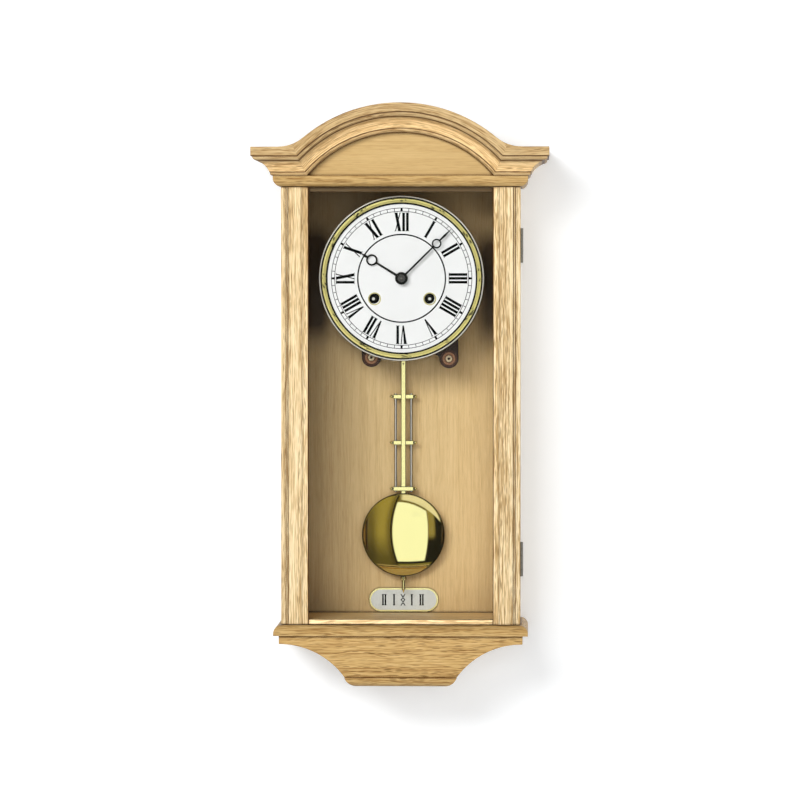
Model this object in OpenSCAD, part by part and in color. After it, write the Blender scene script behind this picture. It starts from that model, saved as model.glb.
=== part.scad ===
// Wall regulator clock: oak case with an arched crown and a hinged glazed door,
// round dial, eight-day movement with going and strike trains, and a gridiron pendulum.
// Millimetres. The wall is the plane y = 0, the front faces -Y, and +Z is up.
// The origin is the centre of the keyhole that the clock hangs from.

/* [Case] */
// Width across the outer faces of the two side panels
case_w = 245.6; // [232:0.1:280]
// Depth of the side panels, from the wall to their front edges
case_d = 100; // [96:1:125]
// Thickness of the side panels
side_t = 15; // [10:0.5:20]
// Thickness of the back board
back_t = 10; // [8:0.5:12]
// Thickness of the bottom board
floor_t = 12; // [8:0.5:16]
// Height of the bob's middle above the base moulding
bob_rise = 87.8; // [82:0.1:120]
// Height of the case floor above the base moulding's top
floor_rise = 5; // [3:0.5:8]
// Height of the keyhole's centre below the top of the arch
hang_drop = 101; // [97:1:112]

/* [Cornice and crown] */
// Height of the rounded cornice rail under the crown
rail_h = 10.7; // [9:0.1:14]
// How far the cornice rail and the base moulding stand out from the case side
rail_out = 7.9; // [6:0.1:12]
// Height of the crown moulding's profile
crown_h = 29; // [25:0.1:32]
// How far the crown stands out beyond the cornice rail
crown_out = 21.6; // [18:0.1:26]
// Height of the crown's plain fascia
fascia_h = 9.3; // [7:0.1:11]
// Height of the quarter-round bead under the fascia
bead_h = 4.6; // [3:0.1:6]
// Height of the small bead at the crown's lower edge
lip_h = 3.6; // [2.5:0.1:5]
// Radius of the arch along its top edge
arch_r = 154; // [140:1:170]
// Height of the arch above the crown's straight ends
arch_rise = 44.9; // [37:0.1:53]
// Radius of the hollow curve where the arch meets the straight ends
arch_fillet = 38; // [20:1:45]
// Thickness of the moulding strips behind their deepest cut
strip_t = 10; // [8:0.5:12]
// Thickness of the tympanum panel
tympanum_t = 10; // [6:0.5:12]

/* [Base] */
// Height of the base moulding
base_h = 10.7; // [9:0.1:14]
// Height of the apron board
apron_h = 43.3; // [36:0.1:56]
// How far the apron stands out from the case side
apron_out = 2.4; // [1:0.1:5]
// Thickness of the apron board
apron_t = 14; // [10:0.5:18]
// Height of the apron's straight end above its hollow curve
apron_end_h = 8.7; // [6:0.1:12]
// Length of the flat under the apron's end, before the hollow curve starts
apron_flat = 1; // [0:0.5:8]
// Radius of the apron's hollow curves
apron_r = 82; // [75:0.5:90]
// Thickness of the curved boards behind the apron
cove_t = 5; // [4:0.5:8]
// Height of the foot moulding
foot_h = 9; // [7:0.1:12]
// How far the foot moulding stands in front of the apron
foot_out = 2.5; // [1:0.1:4]

/* [Door] */
// Thickness of the door
door_t = 19.3; // [17:0.1:24]
// Width of each door stile
stile_w = 28.2; // [24:0.2:34]
// Gap between the door and the case
door_gap = 0.7; // [0.5:0.1:1.5]
// Visible height of the thin top and bottom rails
door_rail_h = 4.6; // [4:0.1:8]
// Thickness of the glass
glass_t = 2; // [2:0.1:3]
// How far the glass lies behind the stiles' front face
glass_in = 9.5; // [8:0.1:10]
// Length of each hinge
hinge_l = 35.5; // [28:0.5:44]
// Radius of the hinge knuckles
knuckle_r = 2.4; // [2:0.1:2.8]
// Radius of the hinge pins
hinge_pin_r = 1; // [0.8:0.1:1.2]
// Distance from the door's top to the middle of the upper hinge
hinge_top_in = 59.7; // [40:0.1:90]
// Distance from the door's foot to the middle of the lower hinge
hinge_low_in = 66.5; // [40:0.1:90]

/* [Hanger] */
// Radius of the keyhole's round hole
hang_r = 4.5; // [4:0.1:5.5]
// Width of the keyhole's slot
hang_slot_w = 4.4; // [3.6:0.1:5]
// Height of the slot's end above the round hole's centre
hang_slot_h = 11; // [9:0.5:12]
// Width of the hanger plate
hanger_w = 56; // [48:1:64]
// Height of the hanger plate
hanger_h = 36; // [34:1:42]
// Thickness of the hanger plate
hanger_t = 2; // [1.5:0.1:2.5]

/* [Dial and hands] */
// Diameter of the dial seen through the bezel
dial_view_d = 155.2; // [150:0.2:158]
// Width of the bezel's ring
bezel_w = 8; // [7:0.1:9.5]
// Gap between the bezel and the case ceiling
dial_gap = 8.6; // [5:0.1:16]
// How far the bezel stands in front of the dial plate's face
bezel_t = 5; // [4.5:0.1:6.5]
// Thickness of the dial plate
dial_t = 1; // [0.8:0.1:1.5]
// Length of the minute hand from its centre to its tip
minute_l = 73.4; // [64:0.1:74]
// Length of the hour hand from its centre to its tip
hour_l = 49.5; // [42:0.5:56]
// Thickness of the hands
hand_t = 0.8; // [0.6:0.1:1]
// Hour that the hands show at rest
rest_hour = 10; // [1:1:12]
// Minutes past that hour
rest_minute = 7.56; // [0:0.01:59]
// Degrees by which the hour hand, a press fit, stands short of its exact place
hour_slip = 2.1; // [-3:0.1:3]

/* [Movement] */
// Gap between the back board and the movement's back plate
movement_off = 30; // [29:0.5:34]
// Clear distance between the two plates
plate_gap = 26.5; // [26:0.5:29]
// Thickness of the plates
plate_t = 1.5; // [1.2:0.1:2]
// Radius of the pillars
pillar_r = 3.5; // [3:0.1:4]
// Radius of the thin arbors' pivots
pivot_r = 0.7; // [0.6:0.05:0.75]
// Radius of the winding arbors
wind_r = 3; // [2.5:0.1:3.3]
// Sideways distance of each winding arbor from the dial's centre
key_x = 28.5; // [28:0.1:30]
// Distance of the winding arbors below the dial's centre
key_drop = 20.6; // [20:0.1:22]
// Radius of the two barrels
barrel_r = 18; // [16:0.1:18.2]
// Depth of the barrels, front to back
barrel_l = 14; // [12:0.1:14.5]

/* [Pendulum] */
// Distance from the swing axis to the middle of the bob
pendulum_l = 312.6; // [306:0.1:316]
// Diameter of the bob
bob_d = 87; // [80:0.5:92]
// Thickness of the bob at its middle
bob_t = 15; // [12:0.5:16]
// Distance of the pendulum's middle plane in front of the back board
pendulum_off = 12; // [11:0.5:13]
// Width of the flat rod
rod_w = 4.8; // [4:0.1:6]
// Thickness of the flat rod
rod_t = 1.8; // [1.4:0.1:2.2]
// Radius of the gridiron's side rods
side_rod_r = 1.35; // [1:0.05:1.6]
// Sideways distance of each side rod from the middle
side_rod_x = 8.1; // [7:0.1:9]
// Gap between the bob's rim and the lowest cross bar
bar_gap = 2.4; // [1:0.1:10]
// Distance from each cross bar to the next
cross_step = 48.3; // [40:0.1:56]
// Length of each cross bar without its ball ends
cross_w = 21; // [19:0.5:25]
// Height of each cross bar
cross_h = 4.6; // [4:0.1:6]
// Radius of the threaded end that carries the rating nut
screw_r = 1.7; // [1.5:0.1:1.9]
// Width of the beat plate
beat_w = 72.5; // [60:0.5:84]
// Height of the beat plate
beat_h = 24.7; // [20:0.1:28]

/* [Hidden] */
$fn = 48;

// Clearances between pieces
fit = 0.05;      // a shaft in its hole
loose = 0.15;    // pieces that slide past each other
clear = 0.4;     // moving pieces that must not touch
over = 1;        // how far a cut runs past the solid that it cuts

// Half widths and distances in front of the wall
side_x = case_w / 2;
inner_x = side_x - side_t;
door_back = case_d + door_gap;
door_front = door_back + door_t;
rail_x = side_x + rail_out;
rail_front = door_front + rail_out;
crown_x = rail_x - strip_t;
crown_back = rail_front - strip_t;
crown_p = strip_t + crown_out;
apron_x = side_x + apron_out;
apron_front_d = door_front + apron_out;
foot_front_d = apron_front_d + foot_out;
open_x = side_x - stile_w;

// Movement places, from the wall and from the dial's centre
plate_back = back_t + movement_off;
bay = plate_back + plate_t;
bay_end = bay + plate_gap;
plate_front = bay_end + plate_t;
pendulum_d = back_t + pendulum_off;
dial_off = 14.5;
hour_off = 2;
minute_off = 2.2;
dial_d = plate_front + dial_off;
hour_hand_d = dial_d + dial_t + hour_off;
minute_hand_d = hour_hand_d + hand_t + minute_off;

// Tooth counts and sizes: teeth, leaves and module of each mesh
great_n = 72;
second_leaves = 12;
great_m = 0.65;
second_n = 60;
centre_leaves = 12;
second_m = 0.55;
centre_n = 72;
third_leaves = 8;
centre_m = 0.45;
third_n = 84;
escape_leaves = 7;
third_m = 0.31;
escape_n = 30;
escape_r = 10.5;
cannon_leaves = 12;
minute_n = 36;
motion_m = 0.5;
minute_leaves = 10;
hour_n = 40;
pin_leaves = 10;
pin_n = 56;
pin_m = 0.45;
gather_leaves = 7;
gather_n = 54;
gather_m = 0.4;
warn_leaves = 7;
warn_n = 48;
warn_m = 0.36;
fly_leaves = 7;

// Distance between the centres of a meshed pair
function mesh(n, leaves, m) = (n + leaves) * m / 2;
function polar(r, a) = [r * cos(a), r * sin(a)];
// The point at distance ra from a and rb from b, on the left of the line from a to b
function meet(a, ra, b, rb) =
  let (w = norm(b - a), u = (b - a) / w, s = (ra * ra - rb * rb + w * w) / (2 * w),
       h = sqrt(ra * ra - s * s))
  a + s * u + h * [-u[1], u[0]];

// Centres of the arbors on the plates, from the dial's centre
centre_p = [0, 0];
time_p = [key_x, -key_drop];
strike_p = [-key_x, -key_drop];
second_p = meet(centre_p, mesh(second_n, centre_leaves, second_m),
                time_p, mesh(great_n, second_leaves, great_m));
third_p = polar(mesh(centre_n, third_leaves, centre_m), 108);
escape_gap = mesh(third_n, escape_leaves, third_m);
escape_p = [0, third_p[1] + sqrt(escape_gap * escape_gap - third_p[0] * third_p[0])];
pallet_gap = 14;
swing_p = escape_p + [0, pallet_gap];
minute_p = [0, -mesh(minute_n, cannon_leaves, motion_m)];
hour_m = 2 * mesh(minute_n, cannon_leaves, motion_m) / (hour_n + minute_leaves);
strike_second_p = strike_p + polar(mesh(great_n, second_leaves, great_m), 100);
pin_p = strike_second_p + polar(mesh(second_n, pin_leaves, second_m), 75);
gather_p = pin_p + polar(mesh(pin_n, gather_leaves, pin_m), 60);
warn_p = gather_p + polar(mesh(gather_n, warn_leaves, gather_m), 170);
fly_p = warn_p + polar(mesh(warn_n, fly_leaves, warn_m), 165);
hammer_p = [-50, 28];
bell_p = [-34, 34];
bell_r = 24;
hammer_r = 5;
strike_gap = 0.8;
head_p = bell_p + polar(bell_r + hammer_r + strike_gap, 250);

// The bezel's radii, and the body's height, which follows from the pendulum and the dial above it
view_r = dial_view_d / 2;
bezel_r = view_r + bezel_w;
dial_drop = bezel_r + dial_gap;
body_h = bob_rise + pendulum_l - swing_p[1] + dial_drop;

// Heights above the foot's underside
z_apron = foot_h;
z_base = z_apron + apron_h;
z_body = z_base + base_h;
z_rail = z_body + body_h;
z_crown = z_rail + rail_h;
z_top = z_crown + crown_h;
hang_z = z_top + arch_rise - hang_drop;
arch_z = z_top + arch_rise - arch_r;
floor_z = z_body + floor_rise;
dial_z = z_rail - dial_drop;
swing_z = dial_z + swing_p[1];
bob_z = swing_z - pendulum_l;

// Layers between the plates, as distances from the back plate's inner face
great_y = 2.5;
great_t = 2.2;
second_y = 20.5;
centre_y = 7;
third_y = 12;
escape_y = 16;
pin_y = 8.5;
gather_y = 13.5;
warn_y = 18.5;
wheel_t = 1.5;
pinion_over = 0.6;
arbor_r = 0.95;
thin_arbor_r = 0.75;
centre_r = 1.45;

// Plate outline, from the dial's centre
plate_x = 58.5;
plate_top = swing_p[1] + 11;
plate_low = -79;
plate_step = -50;
left_leg_x = -42;
lug_left = [-31.8, -82];
lug_right = [48.6, -83.2];
lug_r = 9.9;
pillar_ps = [[-54, 50], [54, 50], [-54, -44], [54, -44]];
foot_ps = [[-20, 50], [20, 50], [0, -46]];
lug_screw_r = 2;

// Moves drawn pieces from heights above the foot to heights above the keyhole
module from_foot() translate([0, 0, -hang_z]) children();
// Stands a flat drawing up to face the front: x stays, y becomes height, z comes forward
module facing(d = 0) from_foot() rotate([90, 0, 0]) translate([0, 0, d]) children();
module on_dial(d = 0, p = [0, 0]) facing(d) translate([p[0], dial_z + p[1], 0]) children();
// Runs a drawing of depth and height along X, centred
module run_x(l) from_foot() translate([-l / 2, 0, 0]) rotate([90, 0, 90]) linear_extrude(l) children();
// Runs a drawing of width and height from the wall forwards
module run_y(l) facing() linear_extrude(l) children();
module both() {
  children();
  mirror([1, 0, 0]) children();
}
module block(x0, x1, d0, d1, z0, z1) from_foot() translate([x0, -d1, z0]) cube([x1 - x0, d1 - d0, z1 - z0]);
module plan(z0, z1) from_foot() translate([0, 0, z0]) linear_extrude(z1 - z0) children();

// Points on an arc from p to q that bows out by sag, or in if sag is negative
function bow(p, q, sag, n = 8) =
  let (c = norm(q - p), r = (c * c / 4 + sag * sag) / (2 * sag), a = asin(c / 2 / r),
       d = (q - p) / c, m = (p + q) / 2, s = [-d[1], d[0]])
  [for (i = [0:n]) let (t = (2 * i / n - 1) * a) m + s * (sag - r) + r * (d * sin(t) + s * cos(t))];

// Crown profile: distance out from its back, and distance down from its top
cove_top = [crown_p - 6.6, fascia_h + bead_h];
cove_end = [strip_t + 2.6, crown_h - lip_h];
crown_profile = concat(
  [[0, 0], [crown_p, 0], [crown_p, fascia_h]],
  bow([crown_p - 1.6, fascia_h + 0.3], cove_top + [0.6, -0.4], -1.3, 6),
  [cove_top],
  bow(cove_top + [-0.4, 0.4], cove_end + [0.6, 0], 1.7, 8),
  bow(cove_end + [0, 0.4], [strip_t, crown_h], -1, 6),
  [[0, crown_h]]);
crown_tip = crown_x + crown_p;
crown_front = crown_back + crown_p;

// Rail profile: distance out from the case side, and distance up from the plain edge
rail_cut = 6.2;
rail_lip = 2;
function rail_profile(h, back) = concat(
  [[back, 0], [rail_out - rail_cut, 0]],
  bow([rail_out - rail_cut + 0.4, 0], [rail_out, h - rail_lip], -1.7, 8),
  [[rail_out, h], [back, h]]);

// Straight line in front view where the crown's straight ends meet the arch
mitre_top = sqrt(pow(arch_r, 2) - pow(z_top - arch_z, 2));
mitre_lap = 0.06;
mitre_low = sqrt(pow(arch_r - crown_h, 2) - pow(z_crown - arch_z, 2)) + mitre_lap;
function mitre_x(z) = mitre_low + (mitre_top - mitre_low) * (z - z_crown) / crown_h;

// Centre of the hollow fillet, its touching point on the arch, and the thickness of its feathered edges
fillet_edge = 0.12;
fillet_c = [sqrt(pow(arch_r + arch_fillet, 2) - pow(z_top + arch_fillet - arch_z, 2)), z_top + arch_fillet];
fillet_t = [0, arch_z] + arch_r / (arch_r + arch_fillet) * (fillet_c - [0, arch_z]);

// The apron's hollow curve: its centre, and where it meets the foot
apron_c = [apron_x - apron_flat, z_base - apron_end_h - apron_r];
foot_lap = 0.4;
foot_x = apron_c[0] - sqrt(pow(apron_r, 2) - pow(apron_r - apron_h + apron_end_h, 2)) + foot_lap;

// Hinge axis and middles
hinge_c = [side_x + 0.5, case_d + door_gap / 2];
door_top = z_rail - door_gap;
door_low = z_body + door_gap;
hinge_zs = [door_top - hinge_top_in, door_low + hinge_low_in];
leaf_t = 1;
leaf_w = 13;
relief = knuckle_r + clear;
knuckles = 5;
leaf_screw_r = 1.2;
leaf_screws = [-0.3, 0.3];

module wood() color([0.85, 0.72, 0.52]) children();
module wood_dark() color([0.72, 0.58, 0.38]) children();
module brass() color([0.83, 0.69, 0.30]) children();
module steel() color([0.62, 0.62, 0.60]) children();
module bronze() color([0.30, 0.21, 0.14]) children();
module black() color([0.07, 0.07, 0.07]) children();

// Case

hanger_c = [0, 3];
pocket_side = 14;
pocket_end = 2.5;
pocket_w = hanger_w - 2 * pocket_side;
pocket_h = hanger_h - 2 * pocket_end;
pocket_d = back_t - 2;
hanger_screw_in = 7;
hanger_screw_x = hanger_w / 2 - hanger_screw_in;
wood_screw_r = 1.7;
wood_screw_l = 6;

module back_board() wood_dark() difference() {
  block(-inner_x, inner_x, 0, back_t, z_base, z_crown);
  translate(hanger_c[1] * [0, 0, 1]) {
    translate([-hanger_w / 2, -hanger_t, -hanger_h / 2]) cube([hanger_w, hanger_t + over, hanger_h]);
    translate([-pocket_w / 2, -pocket_d, -pocket_h / 2]) cube([pocket_w, pocket_d + over, pocket_h]);
  }
  hanger_screws(fit);
  for (q = bracket_screws) disc(q, back_t - wood_screw_l - fit, back_t + over, wood_screw_r + fit);
}

// A wood screw that stands along +Z with its head sunk in a plate, or the hole for it
module sunk_screw(r, head_r, plate, gap, sunk = 0) {
  cut = gap > 0 ? over : -sunk;
  translate([0, 0, -cut]) cylinder(r = head_r + gap, h = plate / 2 + gap + cut);
  cylinder(r = r + gap, h = plate + wood_screw_l + gap);
}

module hanger_screws(gap = 0) both() translate([hanger_screw_x, 0, hanger_c[1]]) rotate([90, 0, 0])
  sunk_screw(wood_screw_r, 2 * wood_screw_r, hanger_t, gap);

module side_panel() block(inner_x, side_x, 0, case_d, z_base, z_crown);

module left_side_panel() wood() mirror([1, 0, 0]) side_panel();

module right_side_panel() wood() difference() {
  side_panel();
  for (z = hinge_zs) {
    block(side_x - leaf_w, side_x + over, case_d - leaf_t, case_d + over, z - hinge_l / 2, z + hinge_l / 2);
    hinge_rod(relief, z, hinge_l);
    leaf_holes(z, fit);
  }
}

module hinge_rod(r, z, l) from_foot() translate([hinge_c[0], -hinge_c[1], z - l / 2]) cylinder(r = r, h = l);

// Screws through the case leaf into the side panel, or the holes for them
module leaf_holes(z, gap = 0) for (k = leaf_screws)
  facing(case_d) translate([side_x - leaf_w / 2 - 1, z + k * hinge_l, 0]) mirror([0, 0, 1])
    sunk_screw(leaf_screw_r, 1.8 * leaf_screw_r, leaf_t, gap, 0.1);

module top_board() wood_dark() block(-inner_x, inner_x, back_t, case_d, z_rail, z_crown);

module bottom_board() wood_dark() block(-inner_x, inner_x, back_t, case_d, floor_z - floor_t, floor_z);

module mitred_front(out_x, out_d, in_x, in_d, back_d, top = z_top) plan(0, top) polygon([
  [-out_x, -out_d], [out_x, -out_d], [in_x, -in_d], [in_x, -back_d], [-in_x, -back_d], [-in_x, -in_d]]);

module mitred_return(out_x, out_d, in_x, in_d) plan(0, z_top) polygon([
  [in_x, 0], [out_x, 0], [out_x, -out_d], [in_x, -in_d]]);

// A rail round the front and both sides, as three mitred strips; up is +1 or -1
module rail_frame(h, z, up) {
  front = [for (p = rail_profile(h, case_d - door_front)) [-door_front - p[0], z + up * p[1]]];
  side = [for (p = rail_profile(h, 0)) [side_x + p[0], z + up * p[1]]];
  intersection() {
    run_x(2 * rail_x) polygon(front);
    mitred_front(rail_x, rail_front, side_x, door_front, case_d);
  }
  both() intersection() {
    run_y(rail_front) polygon(side);
    mitred_return(rail_x, rail_front, side_x, door_front);
  }
}

module cornice_rail() wood() rail_frame(rail_h, z_rail, 1);

module base_moulding() wood() rail_frame(base_h, z_body, -1);

// Front-view region under the arch, between the two mitres
module mitre_region(z0, z1) polygon([
  [-mitre_x(z0), z0], [mitre_x(z0), z0], [mitre_x(z1), z1], [-mitre_x(z1), z1]]);

module mitre_block() facing(crown_back - over) linear_extrude(crown_p + 2 * over)
  mitre_region(z_crown, z_top + arch_rise + over);

module crown_moulding() wood() {
  intersection() {
    facing() translate([0, arch_z, 0])
      rotate_extrude($fn = 180) polygon([for (p = crown_profile) [arch_r - p[1], crown_back + p[0]]]);
    mitre_block();
  }
  difference() {
    intersection() {
      run_x(2 * crown_tip) polygon([for (p = crown_profile) [-crown_back - p[0], z_top - p[1]]]);
      mitred_front(crown_tip, crown_front, crown_x, crown_back, crown_back);
    }
    mitre_block();
  }
  intersection() {
    both() facing(crown_back) linear_extrude(crown_p) difference() {
      polygon([[fillet_c[0], z_top - 1], [fillet_c[0], z_top], fillet_c, fillet_t, fillet_t - [3, 6],
               [mitre_top - 2, z_top - 3]]);
      translate(fillet_c) circle(r = arch_fillet - fillet_edge, $fn = 180);
    }
    mitred_front(crown_tip, crown_front, crown_x, crown_back, crown_back, z_top + arch_rise);
  }
}

module crown_returns() wood() both() intersection() {
  run_y(crown_front) polygon([for (p = crown_profile) [crown_x + p[0], z_top - p[1]]]);
  mitred_return(crown_tip, crown_front, crown_x, crown_back);
}

module tympanum_panel() wood() facing(crown_back - tympanum_t) linear_extrude(tympanum_t) {
  translate([-crown_x, z_crown]) square([2 * crown_x, crown_h - fascia_h]);
  intersection() {
    translate([0, arch_z]) circle(r = arch_r - fascia_h, $fn = 180);
    translate([-arch_r, z_crown]) square([2 * arch_r, crown_h + arch_rise]);
  }
}

module apron_outline() difference() {
  translate([-apron_x, z_apron]) square([2 * apron_x, apron_h]);
  both() {
    translate(apron_c) circle(r = apron_r, $fn = 180);
    translate([apron_c[0], z_apron - over]) square([apron_x, apron_h - apron_end_h + over]);
  }
}

module apron_front() wood() facing(apron_front_d - apron_t) linear_extrude(apron_t) apron_outline();

module apron_coves() wood() both() run_y(apron_front_d - apron_t) intersection() {
  apron_outline();
  union() {
    translate(apron_c) circle(r = apron_r + cove_t, $fn = 180);
    translate([apron_c[0], z_base - apron_end_h]) square([apron_x, apron_end_h]);
  }
  translate([0, z_apron]) square([apron_x, apron_h]);
}

foot_side_r = 1.55 * foot_h;

module foot_moulding() wood() intersection() {
  run_y(foot_front_d) translate([-foot_x, 0]) foot_strip(2 * foot_x, foot_side_r);
  run_x(2 * foot_x) intersection() {
    translate([-foot_front_d, 0]) foot_strip(2 * foot_front_d, foot_h);
    translate([-foot_front_d, 0]) square([foot_front_d, foot_h]);
  }
}

// A strip as high as the foot whose ends are hollowed under by arcs of radius r
module foot_strip(w, r) {
  reach = sqrt(2 * r * foot_h - foot_h * foot_h);
  translate([reach, 0]) square([w - 2 * reach, foot_h]);
  intersection() {
    square([w, foot_h]);
    for (x = [reach, w - reach]) translate([x, r]) circle(r = r, $fn = 96);
  }
}

module hanger_plate() steel() difference() {
  translate([-hanger_w / 2, -hanger_t, hanger_c[1] - hanger_h / 2]) cube([hanger_w, hanger_t, hanger_h]);
  rotate([90, 0, 0]) translate([0, 0, -over]) {
    cylinder(r = hang_r, h = hanger_t + 2 * over, $fn = 96);
    translate([0, hang_slot_h, 0]) cylinder(r = hang_slot_w / 2, h = hanger_t + 2 * over);
    translate([-hang_slot_w / 2, 0, 0]) cube([hang_slot_w, hang_slot_h, hanger_t + 2 * over]);
  }
  hanger_screws(fit);
}

module case_screws() steel() {
  hanger_screws();
  for (z = hinge_zs) leaf_holes(z);
}

beat_t = 0.9;
beat_gap = 1.2;
beat_z = floor_z + beat_gap + beat_h / 2;

module beat_plate() brass() facing(back_t) translate([0, beat_z, 0]) linear_extrude(beat_t) {
  square([beat_w - beat_h, beat_h], center = true);
  for (k = [-1, 1]) translate([k * (beat_w - beat_h) / 2, 0]) circle(r = beat_h / 2, $fn = 96);
}

// One leaf of each hinge: rows is 0 for the case leaf and 1 for the door leaf
module hinge_leaf(z, d0, rows) {
  row_h = hinge_l / knuckles;
  low = z - hinge_l / 2;
  block(side_x - leaf_w, hinge_c[0] - relief, d0, d0 + leaf_t, low, low + hinge_l);
  for (k = [rows:2:knuckles - 1]) {
    z0 = low + k * row_h + (k > 0 ? fit : 0);
    z1 = low + (k + 1) * row_h - (k < knuckles - 1 ? fit : 0);
    block(side_x - leaf_w, hinge_c[0], d0, d0 + leaf_t, z0, z1);
    hinge_rod(knuckle_r, (z0 + z1) / 2, z1 - z0);
  }
}

module case_hinge_leaves() steel() for (z = hinge_zs) difference() {
  union() {
    hinge_leaf(z, case_d - leaf_t, 0);
    hinge_rod(hinge_pin_r, z, hinge_l);
  }
  leaf_holes(z, fit);
}

magnet_z = z_body + body_h / 2;
magnet_h = 24;
magnet_w = 12;
magnet_t = 12;

module catch_magnet() black() block(-inner_x, -inner_x + magnet_w, case_d - magnet_t, case_d,
  magnet_z - magnet_h / 2, magnet_z + magnet_h / 2);

// Door

glass_d = door_front - glass_in - glass_t;
rebate = 6;
bevel_w = 6.5;
bevel_in = 3;
edge_w = 5.5;
edge_in = 1.5;
groove_w = 0.9;
groove_in = 0.8;

// Stile section in plan, from the outer edge to the glass
module stile_section() polygon([
  [side_x, -door_back], [side_x, -door_front + edge_in], [side_x - edge_w, -door_front + edge_in],
  [side_x - edge_w, -door_front + 0.3], [side_x - edge_w - 0.6, -door_front],
  [side_x - edge_w - 1.3, -door_front], [side_x - edge_w - 1.3 - groove_w / 2, -door_front + groove_in],
  [side_x - edge_w - 1.3 - groove_w, -door_front], [open_x + bevel_w, -door_front],
  [open_x, -door_front + bevel_in], [open_x, -glass_d - glass_t], [open_x + rebate, -glass_d - glass_t],
  [open_x + rebate, -door_back]]);

module stile() plan(door_low, door_top) stile_section();

module door_left_stile() wood() difference() {
  mirror([1, 0, 0]) stile();
  strike_block(fit);
}

module door_right_stile() wood() difference() {
  stile();
  for (z = hinge_zs) {
    block(side_x - leaf_w, side_x + over, door_back - over, door_back + leaf_t,
      z - hinge_l / 2, z + hinge_l / 2);
    hinge_rod(relief, z, hinge_l);
  }
}

low_rail_in = 3.5;
top_rail_in = 8;
glass_seat = 2.5;

module door_rail(z0, z1, in, seat0, seat1) difference() {
  block(-open_x, open_x, glass_d - 4, door_front - in, z0, z1);
  block(-side_x, side_x, glass_d - fit, glass_d + glass_t, seat0, seat1);
}

module door_rails() wood() {
  door_rail(door_low, door_low + door_rail_h, low_rail_in, door_low + door_rail_h - glass_seat, door_top);
  door_rail(door_top - door_rail_h, door_top, top_rail_in, door_low, door_top - door_rail_h + glass_seat);
}

glass_x = open_x + rebate - 0.5;

module door_glass() color([0.8, 0.9, 0.95, 0.3]) block(-glass_x, glass_x, glass_d, glass_d + glass_t,
  door_low + door_rail_h - glass_seat + fit, door_top - door_rail_h + glass_seat - fit);

module door_hinge_leaves() steel() for (z = hinge_zs) difference() {
  hinge_leaf(z, door_back, 1);
  hinge_rod(hinge_pin_r + fit, z, hinge_l + over);
}

strike_t = 1;

module strike_block(gap = 0) block(-inner_x - gap, -inner_x + magnet_w + gap,
  door_back - (gap > 0 ? over : 0), door_back + strike_t + gap,
  magnet_z - magnet_h / 2 - gap, magnet_z + magnet_h / 2 + gap);

module strike_plate() steel() strike_block();

// Gearing: straight-sided teeth with enough play to turn freely

wheel_tooth = [[-0.28, -1.2], [-0.1, 0.8], [0.1, 0.8], [0.28, -1.2]];
pinion_leaf = [[-0.24, -1.3], [-0.08, 0.5], [0.08, 0.5], [0.24, -1.3]];

// Tooth outline: n teeth of module m, the first of them at angle a0
function toothed(n, m, tooth, a0) = [for (i = [0:n - 1]) for (q = tooth)
  polar(n * m / 2 + q[1] * m, a0 + (i + q[0]) * 360 / n)];
function aim(a, b) = atan2(b[1] - a[1], b[0] - a[0]);

spokes = 5;
hub_r = 2.4;

// One opening between two spokes of width w, from radius r0 to r1
function window(r0, r1, w) = let (span = 360 / spokes, m0 = asin(w / 2 / r0), m1 = asin(w / 2 / r1)) concat(
  [for (i = [0:4]) polar(r1, m1 + (span - 2 * m1) * i / 4)],
  [for (i = [0:2]) polar(r0, span - m0 - (span - 2 * m0) * i / 2)]);

// A crossed-out wheel on arbor p, with one tooth pointing at the arbor it drives
module wheel(p, d, n, m, drives, t = wheel_t, cut = true) on_dial(d, p) linear_extrude(t) difference() {
  polygon(toothed(n, m, wheel_tooth, aim(p, drives)));
  if (cut) for (k = [0:spokes - 1]) rotate(k * 360 / spokes)
    polygon(window(hub_r + 1, n * m / 2 - 1.2 * m - 1.6, 1.8));
}

// A pinion on arbor p, with a gap facing the wheel that drives it
module pinion(p, d, n, m, driver, t = wheel_t) on_dial(d - pinion_over, p) linear_extrude(t + 2 * pinion_over)
  polygon(toothed(n, m, pinion_leaf, aim(p, driver) + 180 / n));

module disc(p, d0, d1, r) on_dial(d0, p) cylinder(r = r, h = d1 - d0);

// An arbor between the plates, with a pivot in each
module arbor(p, r = arbor_r) {
  disc(p, bay + 0.3, bay_end - 0.3, r);
  disc(p, plate_back, plate_front, pivot_r);
}

barrel_wall = 1.2;
barrel_back = bay + great_y + great_t;

module barrel(p, drives) difference() {
  union() {
    wheel(p, bay + great_y, great_n, great_m, drives, great_t, false);
    disc(p, bay + great_y, barrel_back + barrel_l, barrel_r);
  }
  disc(p, barrel_back, barrel_back + barrel_l - barrel_wall, barrel_r - barrel_wall);
  disc(p, bay, bay_end, wind_r + fit);
}

module time_barrel() brass() barrel(time_p, second_p);

module strike_barrel() brass() barrel(strike_p, strike_second_p);

back_pivot_r = 1.9;
square_w = 1.4 * wind_r;
ratchet_n = 18;
ratchet_r = 9;
spring_turns = 6;
spring_steps = 14;
spring_t = 0.5;

// The strip of the mainspring, wound from the arbor out to the barrel's wall
module spring_strip() {
  r0 = wind_r - 0.4;
  r1 = barrel_r - barrel_wall - 1;
  n = spring_turns * spring_steps;
  polygon(concat(
    [for (i = [0:n]) polar(r0 + (r1 - r0) * i / n, i * 360 / spring_steps)],
    [for (i = [n:-1:0]) polar(r0 + (r1 - r0) * i / n - spring_t, i * 360 / spring_steps)]));
}

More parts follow.
